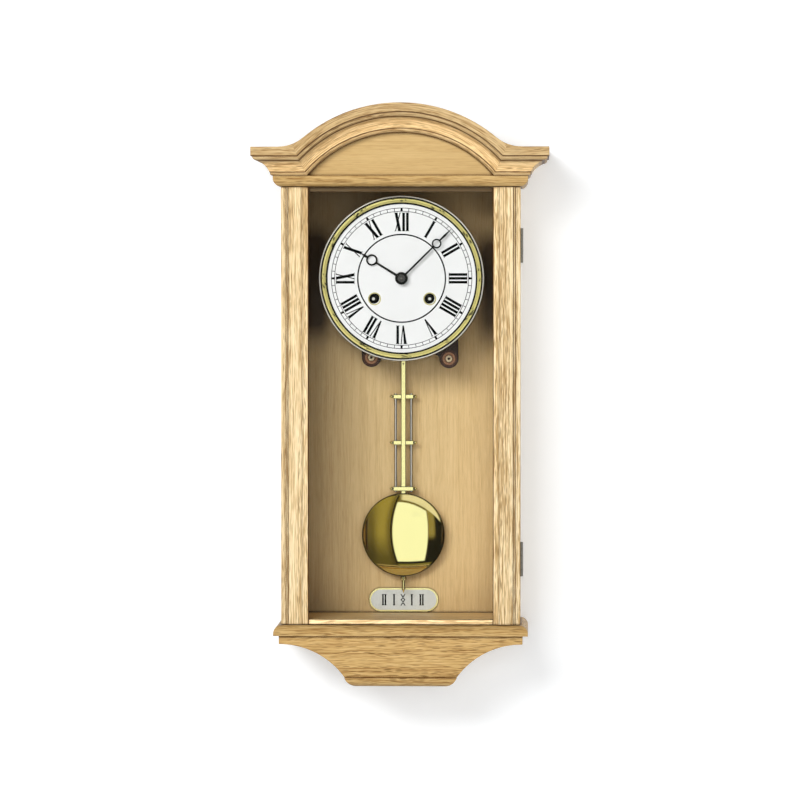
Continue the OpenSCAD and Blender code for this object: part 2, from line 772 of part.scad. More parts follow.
module winding_arbor(p) {
  disc(p, plate_back, bay + 1, back_pivot_r);
  disc(p, bay + 0.3, dial_d - 1, wind_r);
  on_dial(dial_d - 2, p - [square_w, square_w] / 2) cube([square_w, square_w, dial_t + 3]);
  on_dial(plate_front + 1, p) linear_extrude(wheel_t) polygon([for (i = [0:ratchet_n - 1])
    for (q = [[0, 0], [0.9, -1.4]]) polar(ratchet_r + q[1], (i + q[0]) * 360 / ratchet_n)]);
  on_dial(barrel_back + 1, p) linear_extrude(barrel_l - barrel_wall - 2) spring_strip();
}

module time_winding_arbor() steel() winding_arbor(time_p);

module strike_winding_arbor() steel() winding_arbor(strike_p);

module time_second_wheel() brass() {
  arbor(second_p);
  wheel(second_p, bay + second_y, second_n, second_m, centre_p);
  pinion(second_p, bay + great_y, second_leaves, great_m, time_p, great_t);
}

module centre_wheel() brass() {
  disc(centre_p, bay + 0.3, minute_hand_d + hand_t + 0.5, centre_r);
  disc(centre_p, plate_back, bay + 1, pivot_r);
  wheel(centre_p, bay + centre_y, centre_n, centre_m, third_p);
  pinion(centre_p, bay + second_y, centre_leaves, second_m, second_p);
}

module third_wheel() brass() {
  arbor(third_p);
  wheel(third_p, bay + third_y, third_n, third_m, escape_p);
  pinion(third_p, bay + centre_y, third_leaves, centre_m, centre_p);
}

module escape_wheel() brass() {
  arbor(escape_p, thin_arbor_r);
  pinion(escape_p, bay + third_y, escape_leaves, third_m, third_p);
  on_dial(bay + escape_y, escape_p) linear_extrude(wheel_t) difference() {
    polygon([for (i = [0:escape_n - 1]) for (q = [[-0.3, -2], [0, 0], [0.12, 0], [0.3, -2]])
      polar(escape_r + q[1], (i + q[0]) * 360 / escape_n)]);
    for (k = [0:spokes - 1]) rotate(k * 360 / spokes) polygon(window(hub_r, escape_r - 3.6, 1.4));
  }
}

nib = [0, -pallet_gap] + polar(escape_r + 1.2, 41);
crutch_d = plate_back - 4;
crutch_t = 1.5;
crutch_l = 33;
fork_w = 1.5;
fork_x = rod_w / 2 + 0.3;

// Half of the anchor's outline, from its top to its underside
anchor_half = [
  [0, 2.6], [4, 2], nib + [1, 3.9], nib + [1.4, 1.1], nib, nib + [-0.7, 2.9], [3.6, -0.8], [0, -2.2]];

module anchor() steel() {
  disc(swing_p, crutch_d, bay_end - 0.3, arbor_r);
  disc(swing_p, bay_end - 1, plate_front, pivot_r);
  on_dial(bay + escape_y - 0.3, swing_p) linear_extrude(wheel_t + 0.6) both() polygon(anchor_half);
  on_dial(crutch_d, swing_p) {
    cylinder(r = 2.2, h = crutch_t);
    translate([-fork_w / 2, -crutch_l, 0]) cube([fork_w, crutch_l, crutch_t]);
    translate([-fork_x - fork_w, -crutch_l - fork_w, 0]) cube([2 * (fork_x + fork_w), 2 * fork_w, crutch_t]);
  }
  both() on_dial(pendulum_d - rod_t, swing_p) translate([fork_x, -crutch_l - fork_w, 0])
    cube([fork_w, 2 * fork_w, crutch_d - pendulum_d + rod_t + 0.5]);
}

// Motion work behind the dial

cannon_r = 2.5;
pipe_r = 3.3;
stud_r = 0.9;
cannon_y = 1.6;
hour_y = 4.8;

module cannon_pinion() steel() difference() {
  union() {
    disc(centre_p, plate_front + 0.8, minute_hand_d + hand_t, cannon_r);
    pinion(centre_p, plate_front + cannon_y, cannon_leaves, motion_m, minute_p, 1.8);
  }
  disc(centre_p, plate_front, minute_hand_d + 2, centre_r + fit);
}

module minute_wheel() brass() difference() {
  union() {
    wheel(minute_p, plate_front + cannon_y, minute_n, motion_m, centre_p, 1.2, false);
    on_dial(plate_front + cannon_y, minute_p) linear_extrude(5.2)
      polygon(toothed(minute_leaves, hour_m, pinion_leaf, aim(minute_p, centre_p) + 180 / minute_leaves));
  }
  disc(minute_p, plate_front, plate_front + 9, stud_r + fit);
}

module hour_wheel() brass() difference() {
  union() {
    wheel(centre_p, plate_front + hour_y, hour_n, hour_m, minute_p, 1.2, false);
    disc(centre_p, plate_front + hour_y - 0.2, hour_hand_d + hand_t, pipe_r);
  }
  disc(centre_p, plate_front, dial_d + 9, cannon_r + fit);
}

minute_ring = [51, 5, 3.5];
hour_ring = [36.1, 5.9, 4.2];
minute_shaft_w = 1.6;
hour_shaft_w = 2;
boss_r = 6.5;
boss_step = 2.6;
boss_t = 2.2;

// Flat outline of a hand that points up: a thin shaft, a ring and a leaf tip.
// ring holds its centre's distance, its outer radius and its inner radius.
module hand_outline(l, ring, w) {
  low = ring[0] - ring[2] - 0.5;
  high = ring[0] + ring[2] + 0.5;
  widest = ring[0] + ring[1] + (l - ring[0] - ring[1]) * 0.4;
  polygon([[-w * 0.65, 0], [w * 0.65, 0], [w / 2, low], [-w / 2, low]]);
  difference() {
    translate([0, ring[0]]) circle(r = ring[1], $fn = 64);
    translate([0, ring[0]]) circle(r = ring[2], $fn = 64);
  }
  polygon([[-w / 2, high], [w / 2, high], [w * 0.75, widest], [0, l], [-w * 0.75, widest]]);
}

module minute_hand() black() difference() {
  union() {
    on_dial(minute_hand_d) rotate(-6 * rest_minute) linear_extrude(hand_t)
      hand_outline(minute_l, minute_ring, minute_shaft_w);
    disc(centre_p, minute_hand_d, minute_hand_d + boss_t, boss_r);
    disc(centre_p, minute_hand_d, minute_hand_d + boss_t + hand_t, boss_r - boss_step);
  }
  disc(centre_p, minute_hand_d - 1, minute_hand_d + hand_t + 0.8, cannon_r + fit);
}

module hour_hand() black() difference() {
  union() {
    on_dial(hour_hand_d) rotate(hour_slip - 30 * rest_hour - rest_minute / 2) linear_extrude(hand_t)
      hand_outline(hour_l, hour_ring, hour_shaft_w);
    disc(centre_p, hour_hand_d, hour_hand_d + hand_t + 0.6, boss_r);
  }
  disc(centre_p, hour_hand_d - 1, hour_hand_d + 3, pipe_r + fit);
}

// Striking train

pin_circle = 9.5;
strike_pins = 8;
strike_pin_r = 0.8;
strike_pin_l = 4;
fly_r = 7.8;
fly_t = 0.5;
fly_l = 12;

module strike_second_wheel() brass() {
  arbor(strike_second_p);
  wheel(strike_second_p, bay + second_y, second_n, second_m, pin_p);
  pinion(strike_second_p, bay + great_y, second_leaves, great_m, strike_p, great_t);
}

module pin_wheel() brass() {
  arbor(pin_p);
  wheel(pin_p, bay + pin_y, pin_n, pin_m, gather_p, wheel_t, false);
  pinion(pin_p, bay + second_y, pin_leaves, second_m, strike_second_p);
  for (k = [0:strike_pins - 1])
    disc(pin_p + polar(pin_circle, (k + 0.5) * 360 / strike_pins + aim(pin_p, hammer_p)),
         bay + pin_y - strike_pin_l, bay + pin_y + 0.5, strike_pin_r);
}

module gathering_wheel() brass() {
  arbor(gather_p, thin_arbor_r);
  wheel(gather_p, bay + gather_y, gather_n, gather_m, warn_p);
  pinion(gather_p, bay + pin_y, gather_leaves, pin_m, pin_p);
}

module warning_wheel() brass() {
  arbor(warn_p, thin_arbor_r);
  wheel(warn_p, bay + warn_y, warn_n, warn_m, fly_p);
  pinion(warn_p, bay + gather_y, warn_leaves, gather_m, gather_p);
}

module fly() brass() {
  arbor(fly_p, thin_arbor_r);
  pinion(fly_p, bay + warn_y, fly_leaves, warn_m, warn_p);
  on_dial(bay + 4.5, fly_p) {
    cylinder(r = 1.6, h = fly_l);
    translate([-fly_r, -fly_t / 2, 0]) cube([2 * fly_r, fly_t, fly_l]);
  }
}

// The tail that the strike pins lift, and the arm and the head behind the plates
tail_d = bay + pin_y - strike_pin_l + 0.5;
tail_l = norm(pin_p - hammer_p) - pin_circle - strike_pin_r - clear;
tail_w = 1.6;
tail_t = 2.5;
hammer_gap = 1;
hammer_w = 3;
hammer_t = 2.4;
hammer_l = 15;
hammer_d = plate_back - hammer_gap - hammer_t;

module hammer() steel() {
  disc(hammer_p, hammer_d, bay_end - 0.3, arbor_r);
  disc(hammer_p, bay_end - 1, plate_front, pivot_r);
  on_dial(tail_d, hammer_p) rotate(aim(hammer_p, pin_p)) {
    cylinder(r = tail_w / 2 + 1.2, h = tail_t);
    translate([0, -tail_w / 2, 0]) cube([tail_l, tail_w, tail_t]);
  }
  on_dial(hammer_d, hammer_p) {
    cylinder(r = hub_r, h = hammer_t);
    rotate(aim(hammer_p, head_p)) translate([0, -hammer_w / 2, 0])
      cube([norm(head_p - hammer_p), hammer_w, hammer_t]);
  }
  disc(head_p, plate_back - hammer_gap - hammer_l, plate_back - hammer_gap, hammer_r);
}

bell_off = 4.4;
bell_back = plate_back - bell_off;
bell_depth = 15.6;
bell_t = 1.6;
bell_neck = 6;
post_r = 2;

module bell() brass() on_dial(bell_back - bell_depth, bell_p) rotate_extrude($fn = 96) polygon(concat(
  [[post_r + fit, bell_depth], [bell_neck, bell_depth]],
  bow([bell_neck + 1, bell_depth - 0.2], [bell_r, 0], 5, 8),
  bow([bell_r - bell_t, 0], [bell_neck, bell_depth - bell_t], -5, 8),
  [[post_r + fit, bell_depth - bell_t]]));

module bell_post() steel() {
  disc(bell_p, bell_back, plate_back, 3.2);
  disc(bell_p, bell_back - bell_t - 3.5, bell_back + 0.5, post_r);
  on_dial(bell_back - bell_t - 3, bell_p) cylinder(r = 3.8, h = 3, $fn = 6);
}

// Plates and what holds them

// Every arbor's place, with its hole's radius in the back plate and in the front plate
pivots = [
  [time_p, back_pivot_r, wind_r], [strike_p, back_pivot_r, wind_r], [centre_p, pivot_r, centre_r],
  [second_p, pivot_r, pivot_r], [third_p, pivot_r, pivot_r], [escape_p, pivot_r, pivot_r],
  [swing_p, arbor_r, pivot_r], [strike_second_p, pivot_r, pivot_r], [pin_p, pivot_r, pivot_r],
  [gather_p, pivot_r, pivot_r], [warn_p, pivot_r, pivot_r], [fly_p, pivot_r, pivot_r],
  [hammer_p, arbor_r, pivot_r]];
stud_screw_r = 1.5;
lug_fillet = 5;
lug_corner = [lug_right[0] - lug_r - lug_fillet, plate_low - lug_fillet];

module plate_outline() polygon([
  [-plate_x, plate_top], [-plate_x, plate_step], [left_leg_x, plate_step], [left_leg_x, plate_low],
  [plate_x, plate_low], [plate_x, plate_top]]);

module back_plate() brass() difference() {
  on_dial(plate_back) linear_extrude(plate_t) plate_outline();
  for (v = pivots) disc(v[0], plate_back - over, bay + over, v[1] + fit);
  for (p = pillar_ps) disc(p, plate_back - over, bay + over, stud_screw_r + fit);
}

module front_plate() bronze() {
  difference() {
    on_dial(bay_end) linear_extrude(plate_t) {
      plate_outline();
      for (p = [lug_left, lug_right]) {
        translate(p) circle(r = lug_r, $fn = 96);
        translate(p - [lug_r, 0]) square([2 * lug_r, plate_low - p[1]]);
      }
      difference() {
        translate(lug_corner) square([lug_fillet + over, lug_fillet]);
        translate(lug_corner) circle(r = lug_fillet);
      }
    }
    for (v = pivots) disc(v[0], bay_end - over, plate_front + over, v[2] + fit);
    for (p = pillar_ps) disc(p, bay_end - over, plate_front + over, stud_screw_r + fit);
    for (p = [lug_left, lug_right]) disc(p, bay_end - over, plate_front + over, lug_screw_r + fit);
  }
  disc(minute_p, plate_front - 0.5, plate_front + 8, stud_r);
}

module pillars() brass() for (p = pillar_ps) {
  disc(p, bay, bay_end, pillar_r);
  disc(p, plate_back, plate_front + nut_t + 0.8, stud_screw_r);
}

bracket_w = 9;
bracket_h = 5;
bracket_t = 3;
bracket_foot = [13, 34];
bracket_low = 5;
bracket_screw_zs = [9, 23];

// Places of the wood screws that hold the two brackets
bracket_screws = [for (p = [lug_left, lug_right]) for (z = bracket_screw_zs) p + [0, z]];

module movement_brackets() bronze() for (p = [lug_left, lug_right]) difference() {
  union() {
    on_dial(back_t, p - [bracket_foot[0] / 2, bracket_low])
      cube([bracket_foot[0], bracket_foot[1], bracket_t]);
    on_dial(back_t, p - [bracket_w, bracket_h] / 2) cube([bracket_w, bracket_h, bay_end - back_t]);
    disc(p, bay_end - bracket_t, bay_end, washer_r + 1.8);
  }
  disc(p, bay_end - lug_screw_l - 1, bay_end + over, lug_screw_r + fit);
  for (q = bracket_screws) disc(q, back_t - over, back_t + bracket_t + over, wood_screw_r + fit);
}

nut_r = 3.2;
nut_t = 2.2;
washer_r = 5.6;
washer_t = 0.7;
head_r = 3.8;
head_t = 1.5;
lug_screw_l = 7;
screw_slot_w = 0.9;
screw_slot_in = 0.6;

module movement_screws() bronze() {
  for (p = pillar_ps) difference() {
    on_dial(plate_front, p) cylinder(r = nut_r, h = nut_t, $fn = 6);
    disc(p, plate_front - over, plate_front + nut_t + over, stud_screw_r + fit);
  }
  for (p = [lug_left, lug_right]) {
    disc(p, bay_end - lug_screw_l, plate_front + washer_t, lug_screw_r);
    disc(p, plate_front, plate_front + washer_t, washer_r);
    difference() {
      disc(p, plate_front + washer_t - 0.2, plate_front + washer_t + head_t, head_r);
      on_dial(plate_front + washer_t + head_t - screw_slot_in, p) rotate(30)
        translate([-2 * head_r, -screw_slot_w / 2, 0]) cube([4 * head_r, screw_slot_w, 2 * screw_slot_in]);
    }
  }
  for (q = bracket_screws) {
    disc(q, back_t - wood_screw_l, back_t + bracket_t + 0.5, wood_screw_r);
    disc(q, back_t + bracket_t, back_t + bracket_t + 1.4, 2 * wood_screw_r);
  }
}

dial_hole_r = 5;
key_hole_r = 5.6;
dial_foot_r = 2.2;
dial_edge = 1.6;

module dial_plate() color([0.95, 0.95, 0.93]) {
  difference() {
    disc(centre_p, dial_d, dial_d + dial_t, bezel_r - dial_edge - fit);
    disc(centre_p, dial_d - over, dial_d + dial_t + over, dial_hole_r);
    for (p = [time_p, strike_p]) disc(p, dial_d - over, dial_d + dial_t + over, key_hole_r);
  }
  for (p = foot_ps) disc(p, plate_front, dial_d + dial_t / 2, dial_foot_r);
}

bezel_back = 3;

module bezel() brass() on_dial(dial_d + dial_t) rotate_extrude($fn = 180) polygon(concat(
  [[view_r, 0], [view_r, 1.4], [view_r + 1, 1.4]],
  bow([view_r + 1, bezel_t - 2.8], [bezel_r - 2.6, bezel_t - 1.6], 2.2, 10),
  [[bezel_r - 2.3, bezel_t - 2.4]],
  bow([bezel_r - 2.1, bezel_t - 2], [bezel_r, 0.6], 0.7, 5),
  [[bezel_r, -bezel_back], [bezel_r - dial_edge, -bezel_back], [bezel_r - dial_edge, 0]]));

// Pendulum

// The leaf spring, and its foot below the swing axis
spring_w = 5;
leaf_spring_t = 0.2;
spring_l = 15.5;
spring_drop = 8;

// The cock that the spring hangs in: its underside above the swing axis, and its slot
cock_w = 14;
cock_h = 8;
cock_back = 4;
cock_rise = 2.6;
cock_slot = 1.4;

module suspension_cock() brass() difference() {
  on_dial(pendulum_d - cock_back, swing_p + [-cock_w / 2, cock_rise])
    cube([cock_w, cock_h, plate_back - pendulum_d + cock_back]);
  on_dial(pendulum_d - cock_back - over, swing_p + [-cock_slot / 2, cock_rise - over])
    cube([cock_slot, cock_h + 2 * over, 2 * cock_back + over]);
}

module suspension_spring() steel()
  on_dial(pendulum_d - spring_w / 2, swing_p - [leaf_spring_t / 2, spring_drop])
    cube([leaf_spring_t, spring_l, spring_w]);

// The threaded end: how far it reaches into the bob, how far below it, and its point
screw_in = 5;
screw_out = 13.8;
point_l = 4.4;
screw_top = bob_z - bob_d / 2 + screw_in;
screw_end = bob_z - bob_d / 2 - screw_out;

// The block at the rod's top that grips the spring, and its underside below the swing axis
clamp_w = 6;
clamp_h = 8;
clamp_t = 6.4;
clamp_drop = 13;
spring_play = 0.02;
slot_w = leaf_spring_t + 2 * spring_play;
// A pin hole through the flat rod, and how far it is below the swing axis
rod_hole_r = 0.7;
rod_hole_drop = 133.3;

module pendulum_rod() brass() {
  difference() {
    on_dial(pendulum_d - clamp_t / 2, swing_p - [clamp_w / 2, clamp_drop]) cube([clamp_w, clamp_h, clamp_t]);
    on_dial(pendulum_d - clamp_t / 2 - over, swing_p - [slot_w / 2, spring_drop + spring_play])
      cube([slot_w, clamp_h, clamp_t + 2 * over]);
  }
  difference() {
    block(-rod_w / 2, rod_w / 2, pendulum_d - rod_t / 2, pendulum_d + rod_t / 2,
      screw_top, swing_z - clamp_drop + 1);
    disc(swing_p - [0, rod_hole_drop], pendulum_d - rod_t, pendulum_d + rod_t, rod_hole_r);
  }
  from_foot() translate([0, -pendulum_d, screw_end]) cylinder(r = screw_r, h = screw_top + 1 - screw_end);
  from_foot() translate([0, -pendulum_d, screw_end - point_l]) rotate_extrude()
    polygon([[0, 0], [screw_r, point_l], [screw_r, point_l + 0.1], [0, point_l + 0.1]]);
}

// The lowest bar passes in front of the flat rod, the others behind its face
side_rod_d = pendulum_d - 1;
bar_back = 3;
bar_front = 1.2;
ball_r = 1.9;
bar_zs = [for (k = [0:2]) bob_z + bob_d / 2 + bar_gap + cross_h / 2 + k * cross_step];

module cross_bars() brass() for (k = [0:2]) difference() {
  union() {
    block(-cross_w / 2, cross_w / 2, pendulum_d - bar_back, pendulum_d + rod_t / 2 + (k == 0 ? bar_front : 0),
      bar_zs[k] - cross_h / 2, bar_zs[k] + cross_h / 2);
    both() from_foot() translate([cross_w / 2, -side_rod_d, bar_zs[k]]) {
      translate([ball_r, 0, 0]) sphere(r = ball_r, $fn = 32);
      translate([-1, 0, 0]) rotate([0, 90, 0]) cylinder(r = ball_r / 2, h = ball_r + 1);
    }
  }
  block(-rod_w / 2 - fit, rod_w / 2 + fit, pendulum_d - rod_t / 2 - fit,
    pendulum_d + rod_t / 2 + (k == 0 ? fit : over), bar_zs[k] - cross_h, bar_zs[k] + cross_h);
  side_rods(fit);
}

module side_rods(gap = 0) both() from_foot()
  translate([side_rod_x, -side_rod_d, bar_zs[0] - cross_h / 2 - 1 - gap])
  cylinder(r = side_rod_r + gap, h = bar_zs[2] - bar_zs[0] + cross_h + 2 + 2 * gap);

module gridiron_rods() steel() side_rods();

// The lens stands in front of the rod's middle plane, and its slot is open at the back
bob_rim = 2.4;
bob_out = 1.3;

module bob() brass() difference() {
  facing(pendulum_d + bob_out) translate([0, bob_z, 0]) rotate_extrude($fn = 180) polygon(concat(
    bow([0, -bob_t / 2], [bob_d / 2, -bob_rim / 2], -1.05 * (bob_t - bob_rim) / 8, 12),
    bow([bob_d / 2, bob_rim / 2], [0, bob_t / 2], -1.05 * (bob_t - bob_rim) / 8, 12)));
  block(-rod_w / 2 - loose, rod_w / 2 + loose, pendulum_d - bob_t, pendulum_d + screw_r + loose,
    bob_z - bob_d, bob_z + bob_d);
}

rating_h = 4.2;
rating_r = 3;
rating_round = 1;

module rating_nut() brass() from_foot() translate([0, -pendulum_d, bob_z - bob_d / 2 - rating_h])
  rotate_extrude() polygon([
    [screw_r + fit, 0], [rating_r - rating_round, 0], [rating_r, rating_round],
    [rating_r, rating_h - rating_round], [rating_r - rating_round, rating_h], [screw_r + fit, rating_h]]);

back_board();
left_side_panel();
right_side_panel();
top_board();
bottom_board();
crown_moulding();
crown_returns();
tympanum_panel();
cornice_rail();
base_moulding();
apron_front();
apron_coves();
foot_moulding();
hanger_plate();
beat_plate();
case_hinge_leaves();
case_screws();
catch_magnet();
door_left_stile();
door_right_stile();
door_rails();
door_glass();
door_hinge_leaves();
strike_plate();
front_plate();
back_plate();
pillars();
movement_screws();
movement_brackets();
dial_plate();
bezel();
bell();
bell_post();
suspension_cock();
suspension_spring();
time_barrel();
time_winding_arbor();
time_second_wheel();
centre_wheel();
third_wheel();
escape_wheel();
anchor();
cannon_pinion();
minute_wheel();
hour_wheel();
minute_hand();
hour_hand();
strike_barrel();
strike_winding_arbor();
strike_second_wheel();
pin_wheel();
gathering_wheel();
warning_wheel();
fly();
hammer();
pendulum_rod();
gridiron_rods();
cross_bars();
bob();
rating_nut();
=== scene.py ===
import math

import bmesh
import bpy
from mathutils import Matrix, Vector


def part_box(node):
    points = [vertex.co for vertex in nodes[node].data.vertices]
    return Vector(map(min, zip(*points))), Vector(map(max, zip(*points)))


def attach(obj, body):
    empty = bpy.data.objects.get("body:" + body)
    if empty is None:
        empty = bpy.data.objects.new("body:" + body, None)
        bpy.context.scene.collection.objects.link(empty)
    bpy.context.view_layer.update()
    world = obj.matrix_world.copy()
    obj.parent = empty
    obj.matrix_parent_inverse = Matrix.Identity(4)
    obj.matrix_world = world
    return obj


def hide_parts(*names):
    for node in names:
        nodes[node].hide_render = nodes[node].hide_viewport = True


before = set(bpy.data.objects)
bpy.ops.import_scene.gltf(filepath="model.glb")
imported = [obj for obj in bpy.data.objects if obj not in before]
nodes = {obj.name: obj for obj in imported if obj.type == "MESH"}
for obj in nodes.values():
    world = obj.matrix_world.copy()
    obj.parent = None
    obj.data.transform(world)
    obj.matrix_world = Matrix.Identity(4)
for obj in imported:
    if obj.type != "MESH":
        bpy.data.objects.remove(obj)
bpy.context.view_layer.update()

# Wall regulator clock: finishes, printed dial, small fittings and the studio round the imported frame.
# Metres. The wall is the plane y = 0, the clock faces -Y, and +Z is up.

MM = 0.001


# Places that come from the frame

def middle(node):
    """The centre of a CAD node's box."""
    low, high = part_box(node)
    return (low + high) / 2


def front(node):
    """The y of a CAD node's front face."""
    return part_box(node)[0].y


DIAL = middle("bezel")
DIAL_FACE = front("dial_plate")
DIAL_MIDDLE = Vector((DIAL.x, DIAL_FACE, DIAL.z))
BOB = middle("bob")
BOB_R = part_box("bob")[1].x - BOB.x
SIDE_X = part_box("right_side_panel")[1].x
OPEN_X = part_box("door_right_stile")[0].x
DOOR_FRONT = front("door_left_stile")
CROWN_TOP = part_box("crown_returns")[1].z
ARCH_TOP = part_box("crown_moulding")[1].z
ARCH_R = 154 * MM
ARCH_Z = ARCH_TOP - ARCH_R


# Sockets and node trees

class Wire:
    """An output socket. Arithmetic on it adds Math nodes to its tree."""

    def __init__(self, tree, socket):
        self.tree = tree
        self.socket = socket

    def other(self, key):
        return Wire(self.tree, self.socket.node.outputs[key])

    def __add__(self, value):
        return self.tree.math("ADD", self, value)

    def __radd__(self, value):
        return self.tree.math("ADD", value, self)

    def __sub__(self, value):
        return self.tree.math("SUBTRACT", self, value)

    def __rsub__(self, value):
        return self.tree.math("SUBTRACT", value, self)

    def __mul__(self, value):
        return self.tree.math("MULTIPLY", self, value)

    def __rmul__(self, value):
        return self.tree.math("MULTIPLY", value, self)

    def __truediv__(self, value):
        return self.tree.math("DIVIDE", self, value)

    def __gt__(self, value):
        return self.tree.math("GREATER_THAN", self, value)

    def __abs__(self):
        return self.tree.math("ABSOLUTE", self)


class Tree:
    """A node tree that is filled by calls, one method for every type of node."""

    def __init__(self, tree):
        self.tree = tree
        tree.nodes.clear()

    def add(self, kind, settings=None, values=(), out=0):
        node = self.tree.nodes.new(kind)
        for name, value in (settings or {}).items():
            if name == "stops":
                set_stops(node.color_ramp, value)
            else:
                setattr(node, name, value)
        pairs = values.items() if isinstance(values, dict) else enumerate(values)
        for key, value in pairs:
            if isinstance(value, Wire):
                self.tree.links.new(value.socket, node.inputs[key])
            else:
                node.inputs[key].default_value = value
        return Wire(self, node.outputs[out]) if node.outputs else None

    def math(self, operation, *values):
        return self.add("ShaderNodeMath", {"operation": operation}, values)

    def vector(self, operation, *values, out=0):
        return self.add("ShaderNodeVectorMath", {"operation": operation}, values, out)

    def spread(self, value, low, high, start=0.0, end=1.0):
        """Value's stretch from low to high, eased and laid over start to end."""
        settings = {"interpolation_type": "SMOOTHSTEP"}
        return self.add("ShaderNodeMapRange", settings, (value, low, high, start, end))

    def line(self, value, spot, half):
        """1 where value is at spot, fading to 0 half a width away."""
        return self.spread(abs(value - spot), half, half * 0.4)

    def length(self, across, up):
        return self.math("SQRT", across * across + up * up)

    def mix(self, share, first, second, blend="MIX"):
        settings = {"data_type": "RGBA", "blend_type": blend}
        return self.add("ShaderNodeMix", settings, {0: share, 6: first, 7: second}, 2)

    def mix_places(self, share, first, second):
        return self.add("ShaderNodeMix", {"data_type": "VECTOR"}, {0: share, 4: first, 5: second}, 1)

    def noise(self, place, stretch, detail=2.0, roughness=0.5):
        values = {"Vector": self.vector("MULTIPLY", place, stretch), "Scale": 1.0, "Detail": detail,
                  "Roughness": roughness}
        return self.add("ShaderNodeTexNoise", {}, values)

    def cells(self, place, stretch):
        """Distance to the nearest point of a scatter of points, 0 at each."""
        values = {"Vector": self.vector("MULTIPLY", place, stretch), "Scale": 1.0}
        return self.add("ShaderNodeTexVoronoi", {}, values)

    def parts(self, place):
        split = self.add("ShaderNodeSeparateXYZ", {}, (place,))
        return split, split.other(1), split.other(2)

    def join(self, x, y, z):
        return self.add("ShaderNodeCombineXYZ", {}, (x, y, z))

    def place(self):
        return self.add("ShaderNodeTexCoord", {}, (), "Object")

    def spots(self):
        return self.parts(self.place())


def set_stops(ramp, stops):
    while len(ramp.elements) < len(stops):
        ramp.elements.new(0.5)
    for element, (position, colour) in zip(ramp.elements, stops):
        element.position = position
        element.color = colour


def srgb(red, green, blue):
    """A colour as it looks on a screen, 0 to 255, as the linear values that nodes use."""
    parts = [c / 255 for c in (red, green, blue)]
    return tuple(c / 12.92 if c <= 0.04045 else ((c + 0.055) / 1.055) ** 2.4 for c in parts) + (1.0,)


def darker(colour, share):
    return tuple(c * share for c in colour[:3]) + (1.0,)


def scaled(colours, share):
    """A set of wood colours, each made darker or lighter, partly as painted light and shade."""
    return {name: darker(colour, share) for name, colour in colours.items()}


def material(name, build):
    """A material whose surface is the shader that build(tree) returns."""
    made = bpy.data.materials.new(name)
    made.use_nodes = True
    tree = Tree(made.node_tree)
    tree.add("ShaderNodeOutputMaterial", {}, {"Surface": build(tree)})
    return made


def surface(tree, **values):
    named = {key.replace("_", " "): value for key, value in values.items()}
    return tree.add("ShaderNodeBsdfPrincipled", {}, named)


def corners(tree, reach):
    """How open a spot is, 1 in the open and 0 deep in a corner within reach."""
    return tree.add("ShaderNodeAmbientOcclusion", {"samples": 6}, {"Distance": reach}, "AO")


def rounded(tree, radius):
    """The normal as it would be if edges were rounded, and how near an edge a spot is."""
    soft = tree.add("ShaderNodeBevel", {"samples": 4}, {"Radius": radius})
    true = tree.add("ShaderNodeNewGeometry", {}, (), "True Normal")
    return soft, 1.0 - tree.vector("DOT_PRODUCT", soft, true, out=1)


def bumped(tree, height, depth, normal=None, strength=1.0):
    values = {"Height": height, "Distance": depth, "Strength": strength}
    if normal:
        values["Normal"] = normal
    return tree.add("ShaderNodeBump", {}, values)


# Where the grain runs. A piece's second strip is cut elsewhere in the wood.

ELSEWHERE = 0.4
END_CUT = 0.3


def along_x(tree):
    x, y, z = tree.spots()
    return tree.join(x, z, y)


def along_y(tree):
    x, y, z = tree.spots()
    return tree.join(y, z, x)


def along_z(tree):
    x, y, z = tree.spots()
    return tree.join(z, x, y)


def round_the_front(tree):
    """Grain along X on the front strip and along Y on the side strips, parted by their mitres."""
    x, y, z = tree.spots()
    beside = (abs(x) - SIDE_X) > (DOOR_FRONT - y)
    return tree.mix_places(beside, tree.join(x, z, y), tree.join(y, z, x + ELSEWHERE))


MITRE_X = 108.7 * MM
MITRE_SLOPE = 0.438


def past_mitre(x, depth):
    """1 on the crown's straight ends, past the mitres that lean inwards below its top edge."""
    return abs(x) > (MITRE_X - depth * MITRE_SLOPE)


def over_the_arch(tree):
    """Grain along the straight ends, and round the arch between its mitres."""
    x, y, z = tree.spots()
    up = z - ARCH_Z
    sweep = tree.math("ARCTAN2", x, up) * ARCH_R
    arched = tree.join(sweep, tree.length(x, up), y)
    return tree.mix_places(past_mitre(x, CROWN_TOP - z), arched, tree.join(x, z + END_CUT, y))


# Painted shade in the creases, and painted light that makes the wood beside them paler

FASCIA_H = 9.3 * MM
COVE_START = 13.9 * MM
COVE_END = 25.4 * MM
CREASE = 0.75 * MM
BEVEL_X = OPEN_X + 6.6 * MM
GROOVE_X = SIDE_X - 7.2 * MM
STEP_X = SIDE_X - 5.4 * MM


def crown_creases(tree):
    """Painted shade in lines at set depths below the crown's top edge, and painted light in the hollow
    between the last two.
    """
    x, y, z = tree.spots()
    depth_round = ARCH_R - tree.length(x, z - ARCH_Z)
    depth_flat = CROWN_TOP - z
    depth = depth_round + (depth_flat - depth_round) * past_mitre(x, depth_flat)
    # Painted shade: dark lines at the crease depths.
    found = 0.0
    for spot in (FASCIA_H, COVE_START, COVE_END):
        found = tree.line(depth, spot, CREASE) + found
    # Painted light in the cove.
    pale = tree.spread(depth, COVE_START, COVE_START + 3 * MM)
    pale = pale * tree.spread(depth, COVE_END + 2 * MM, COVE_END)
    return found * 0.85, pale


